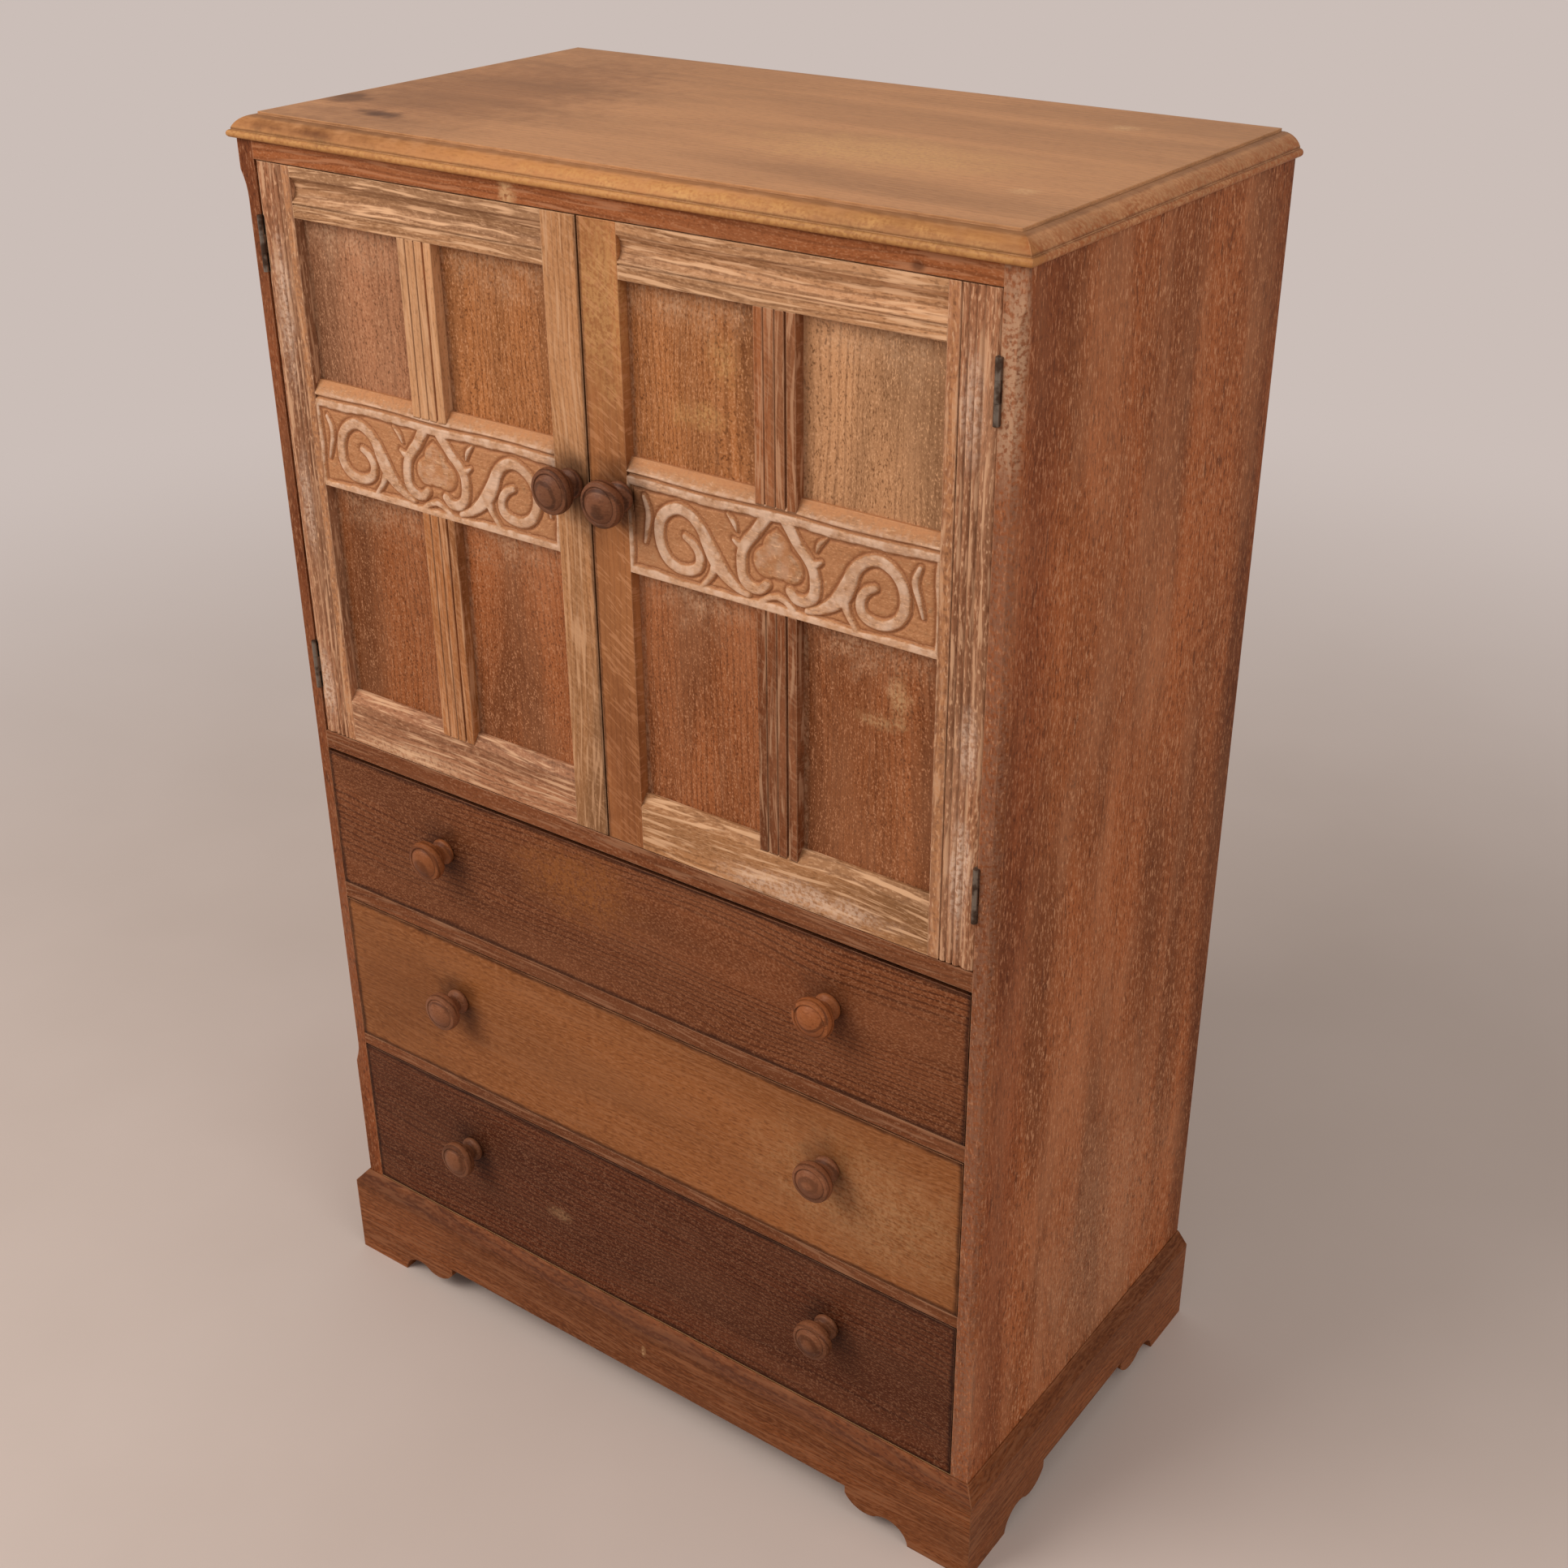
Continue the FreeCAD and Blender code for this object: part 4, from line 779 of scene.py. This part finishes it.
def smooth(points):
    """A path through points of u, v and half width, rounded at each point."""
    points = [np.array(point, float) for point in points]
    ends = [2 * points[0] - points[1], *points, 2 * points[-1] - points[-2]]
    path = []
    for before, start, end, after in zip(ends, ends[1:], ends[2:], ends[3:]):
        for share in (0.0, 0.25, 0.5, 0.75):
            bow = (2 * before - 5 * start + 4 * end - after) * share ** 2
            twist = (3 * start - before - 3 * end + after) * share ** 3
            path.append(start + ((end - before) * share + bow + twist) / 2)
    return [*path, points[-1]]


def stroke(u, v, points):
    """How far each spot lies inside a band that runs through points of u, v and half width."""
    inside = np.full(u.shape, -100.0)
    for (u0, v0, w0), (u1, v1, w1) in zip(points, points[1:]):
        run_u, run_v = u1 - u0, v1 - v0
        along = ((u - u0) * run_u + (v - v0) * run_v) / (run_u ** 2 + run_v ** 2)
        along = np.clip(along, 0.0, 1.0)
        distance = np.hypot(u - u0 - along * run_u, v - v0 - along * run_v)
        inside = np.maximum(inside, w0 + (w1 - w0) * along - distance)
    return inside


def shoulder(inside, soft):
    """A rounded edge: 0 outside a band and 1 well inside it."""
    share = np.clip(inside / soft, 0.0, 1.0)
    return share * (2.0 - share)


def hand_drawn(x, v, phase):
    """The pattern's grid made to waver as if drawn by hand."""
    wavering = x + 0.9 * np.sin(v * 0.09 + phase)
    return wavering, v + 0.8 * np.sin(wavering * 0.045 + phase * 2)


def carved(x, v, half, phase):
    """How high a frieze stands at each spot, from 0 in the cuts beside its bands to 1 on its face."""
    x, v = hand_drawn(x, v, phase)
    u = np.abs(x)
    uneven = 0.5 * np.sin(x * 0.11 + phase) + 0.25 * np.sin(x * 0.37 + v * 0.2)
    raised = np.maximum(LOWER_BORDER + uneven - v, v - UPPER_BORDER + uneven)
    raised = np.maximum(raised, u - half + END_BORDER + uneven)
    for path in (SCROLL, SCROLL_FOOT, HEART, SPUR, SPRIG, CUSP, END_LEAF):
        raised = np.maximum(raised, stroke(u, v, smooth(path)) + BAND_WEIGHT)
    leaf = np.maximum(stroke(u, v, LEAF), stroke(u, v, LEAF_LOBE))
    punched = PUNCH_RISE * np.sin(x * 1.9 + 2 * np.sin(v * 0.7)) * np.sin(v * 1.6 + 2 * np.sin(x * 0.6))
    away = np.clip(-np.maximum(raised, leaf) / CUT_WIDTH, 0.0, 1.0)
    ground = (GROUND_RISE + punched) * away * away * (3.0 - 2.0 * away)
    bands = np.maximum(shoulder(raised, BAND_SOFTNESS), LEAF_RISE * shoulder(leaf, LEAF_SOFTNESS))
    upper_line = np.clip(np.abs(v - UPPER_LINE) / LINE_WIDTH, 0.0, 1.0)
    return np.minimum(np.maximum(bands, ground), upper_line)


def frieze_section(y, low, high):
    """The rail's section behind its face: bevel, grooves and back, as points of y and z."""
    near, far, back = y + GROOVE_NEAR, y + GROOVE_FAR, y + RAIL_THICKNESS
    return [
        (y + BEVEL_DEPTH, high),
        (near, high), (near, high - GROOVE_DEPTH), (far, high - GROOVE_DEPTH), (far, high),
        (back, high), (back, low),
        (far, low), (far, low + GROOVE_DEPTH), (near, low + GROOVE_DEPTH), (near, low),
    ]


def carved_frieze(node_name, body, phase):
    """A door's middle rail with its scrolls and heart cut in relief."""
    low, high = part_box(node_name)
    start, end = low[0] + RAIL_TENON, high[0] - RAIL_TENON
    face = low[1]
    columns = np.linspace(start, end, int((end - start) / CELL) + 1)
    rows = np.linspace(low[2], high[2] - BEVEL_HEIGHT, int((high[2] - low[2]) / CELL) + 1)
    x_grid, z_grid = np.meshgrid(columns, rows, indexing="ij")
    half = (end - start) / 2 / MM
    heights = carved((x_grid - (start + end) / 2) / MM, (z_grid - low[2]) / MM, half, phase)

    section = frieze_section(face, low[2], high[2])
    ring = len(rows) + len(section)
    places, relief = [], []
    for i, x in enumerate(columns):
        for j, z in enumerate(rows):
            places.append((x, face + RELIEF * (1.0 - heights[i, j]), z))
        places.extend((x, y, z) for y, z in section)
        relief.extend([*heights[i], *([BEVEL_RELIEF] * len(section))])
    faces = []
    for i in range(len(columns) - 1):
        for k in range(ring):
            after = (k + 1) % ring
            faces.append((i * ring + k, (i + 1) * ring + k, (i + 1) * ring + after, i * ring + after))
    faces.append(tuple(range(ring)))
    faces.append(tuple(range((len(columns) - 1) * ring, len(columns) * ring)))
    mesh = bpy.data.meshes.new(f"{node_name}_carved")
    mesh.from_pydata(places, [], faces)
    mesh.attributes.new("relief", "FLOAT", "POINT").data.foreach_set("value", relief)
    outward = bmesh.new()
    outward.from_mesh(mesh)
    bmesh.ops.recalc_face_normals(outward, faces=outward.faces)
    outward.to_mesh(mesh)
    outward.free()
    mesh.shade_smooth()
    mesh.set_sharp_from_angle(angle=CREASE)
    piece = bpy.data.objects.new(f"{node_name}_carved", mesh)
    bpy.context.collection.objects.link(piece)
    mesh.materials.append(carving_oak(node_name, phase))
    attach(piece, body)
    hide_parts(node_name)


CARVED_GROUND = srgb(178, 116, 74)
CARVED_LIME = srgb(218, 178, 150)
CUT_DIRT_AND_SHADE = srgb(142, 86, 52)
PATCHY, PATCHY_RISE = 190.0, 1.1
MOTTLE = 90.0
MOTTLE_STEP = (0.42, 0.64)
GROUND_STEP = (0.8, 0.5)
LIMED_STEP = (0.66, 1.1)
DIRT_AND_SHADE_STEP = (0.36, 0.02)
MOST_GROUND, MOST_MOTTLE, MOST_LIME, MOST_DIRT_AND_SHADE = 0.5, 0.5, 0.4, 0.75
HIGH_PARTS = (0.5 * RELIEF, 0.2 * RELIEF)


def carving_oak(node_name, shift):
    """Carved oak: lime left on the high parts, bare brown ground, and dirt with painted shade in the
    deepest cuts beside the bands.
    """
    base, style_name, order = BOARDS[node_name]
    style = STYLES[style_name]
    made, tree, shader = new_material(f"{node_name}_carving")
    grain = oak_grain(tree, base, style, grain_vector(tree, order, shift))
    relief = add(tree, "Attribute", attribute_name="relief").outputs["Fac"]
    patchy = sums(tree, "SUBTRACT", even_noise(tree, PATCHY, 4.0), 0.5)
    lifted = sums(tree, "ADD", relief, sums(tree, "MULTIPLY", patchy, PATCHY_RISE))
    ground = ranged(tree, lifted, *GROUND_STEP, 0.0, MOST_GROUND)
    colour = blended(tree, ground, grain["Colour"], CARVED_GROUND)
    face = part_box(node_name)[0][1]
    depth = add(tree, "SeparateXYZ", {0: object_place(tree)}).outputs[1]
    on_top = ranged(tree, depth, face + HIGH_PARTS[0], face + HIGH_PARTS[1])
    mottle = ranged(tree, even_noise(tree, MOTTLE, 5.0), *MOTTLE_STEP, 0.0, MOST_MOTTLE)
    colour = blended(tree, sums(tree, "MULTIPLY", mottle, on_top), colour, LIME_WHITE)
    limed = ranged(tree, lifted, *LIMED_STEP, 0.0, MOST_LIME)
    colour = blended(tree, limed, colour, CARVED_LIME)
    # Dirt and painted shade, darkest where the relief is lowest, in the cuts right beside the bands.
    shade_and_dirt = ranged(tree, relief, *DIRT_AND_SHADE_STEP, 0.0, MOST_DIRT_AND_SHADE)
    colour = blended(tree, shade_and_dirt, colour, CUT_DIRT_AND_SHADE)
    colour = marked(tree, colour, MARKS.get(node_name, ()))
    finish_oak(tree, shader, colour, grain, style, base)
    return made


carved_frieze("left_frieze_rail", "left_door", 0.6)
carved_frieze("right_frieze_rail", "right_door", 2.3)

# Stage, light and camera

BACKDROP = srgb(203, 190, 184)
FLOOR_DARK = srgb(190, 173, 162)
FLOOR_LIGHT = srgb(202, 185, 175)
FLOOR_MOTTLE = 3.0
FLOOR_ROUGHNESS = 0.7
FLOOR_REACH = 16.0
BACKDROP_STEP = (0.9, 3.2)


def seen_rays(tree):
    """1 for rays that end in the picture, straight or by way of a shine, and 0 for light."""
    rays = add(tree, "LightPath").outputs
    seen = sums(tree, "MAXIMUM", rays["Is Camera Ray"], rays["Is Glossy Ray"])
    return sums(tree, "MAXIMUM", seen, rays["Is Transmission Ray"])


def plain_floor():
    """A pale floor that passes into the backdrop away from the press."""
    mesh = bpy.data.meshes.new("floor")
    turns = ((-1, -1), (1, -1), (1, 1), (-1, 1))
    corners = [(x * FLOOR_REACH, y * FLOOR_REACH, 0) for x, y in turns]
    mesh.from_pydata(corners, [], [(0, 1, 2, 3)])
    floor = bpy.data.objects.new("floor", mesh)
    bpy.context.collection.objects.link(floor)
    made, tree, shader = new_material("floor")
    mottle = even_noise(tree, FLOOR_MOTTLE, 4.0)
    feed(tree, shader, {
        "Base Color": blended(tree, mottle, FLOOR_DARK, FLOOR_LIGHT),
        "Roughness": FLOOR_ROUGHNESS,
    })
    glow = add(tree, "Emission", {"Color": BACKDROP, "Strength": 1.0}).outputs[0]
    span = add(tree, "VectorMath", {0: object_place(tree)}, operation="LENGTH").outputs["Value"]
    share = sums(tree, "MULTIPLY", ranged(tree, span, *BACKDROP_STEP), seen_rays(tree))
    backdrop = add(tree, "MixShader", {0: share, 1: shader.outputs[0], 2: glow}).outputs[0]
    feed(tree, tree.nodes["Material Output"], {"Surface": backdrop})
    mesh.materials.append(made)


def area_light(name, place, target, size, energy, colour):
    """A soft rectangular lamp aimed at a point."""
    lamp = bpy.data.lights.new(name, "AREA")
    lamp.size = size
    lamp.energy = energy
    lamp.color = colour
    made = bpy.data.objects.new(name, lamp)
    made.location = place
    made.rotation_euler = (Vector(target) - Vector(place)).to_track_quat("-Z", "Y").to_euler()
    bpy.context.collection.objects.link(made)


def world_light(colour, strength):
    """Even light from all round."""
    world = bpy.data.worlds.new("studio")
    world.use_nodes = True
    tree = world.node_tree
    light = tree.nodes["Background"]
    feed(tree, light, {"Color": colour, "Strength": strength})
    seen = add(tree, "Background", {"Color": BACKDROP, "Strength": 1.0})
    mixed = add(tree, "MixShader", {0: seen_rays(tree), 1: light.outputs[0], 2: seen.outputs[0]})
    feed(tree, tree.nodes["World Output"], {"Surface": mixed.outputs[0]})
    bpy.context.scene.world = world


SENSOR_WIDTH = 36.0
FOCAL_LENGTH = 46.7
CAMERA_PLACE = (1.024, -1.345, 1.531)
CAMERA_DEGREES = (61.59, 0.37, 35.95)


def photo_camera():
    """The camera where the photograph was taken from."""
    lens = bpy.data.cameras.new("camera")
    lens.sensor_width = SENSOR_WIDTH
    lens.lens = FOCAL_LENGTH
    camera = bpy.data.objects.new("camera", lens)
    camera.location = CAMERA_PLACE
    camera.rotation_euler = [math.radians(angle) for angle in CAMERA_DEGREES]
    bpy.context.collection.objects.link(camera)
    bpy.context.scene.camera = camera


plain_floor()
area_light(
    "key", place=(-1.5, -2.4, 2.9), target=(0.0, 0.0, 0.7), size=2.2, energy=95.0, colour=(1.0, 0.97, 0.94),
)
area_light(
    "fill", place=(2.6, -0.6, 2.2), target=(0.2, 0.0, 0.6), size=2.5, energy=30.0, colour=(1.0, 0.98, 0.96),
)
world_light(colour=(1.0, 0.97, 0.95, 1.0), strength=0.45)
photo_camera()
bpy.context.scene.view_settings.view_transform = "Standard"
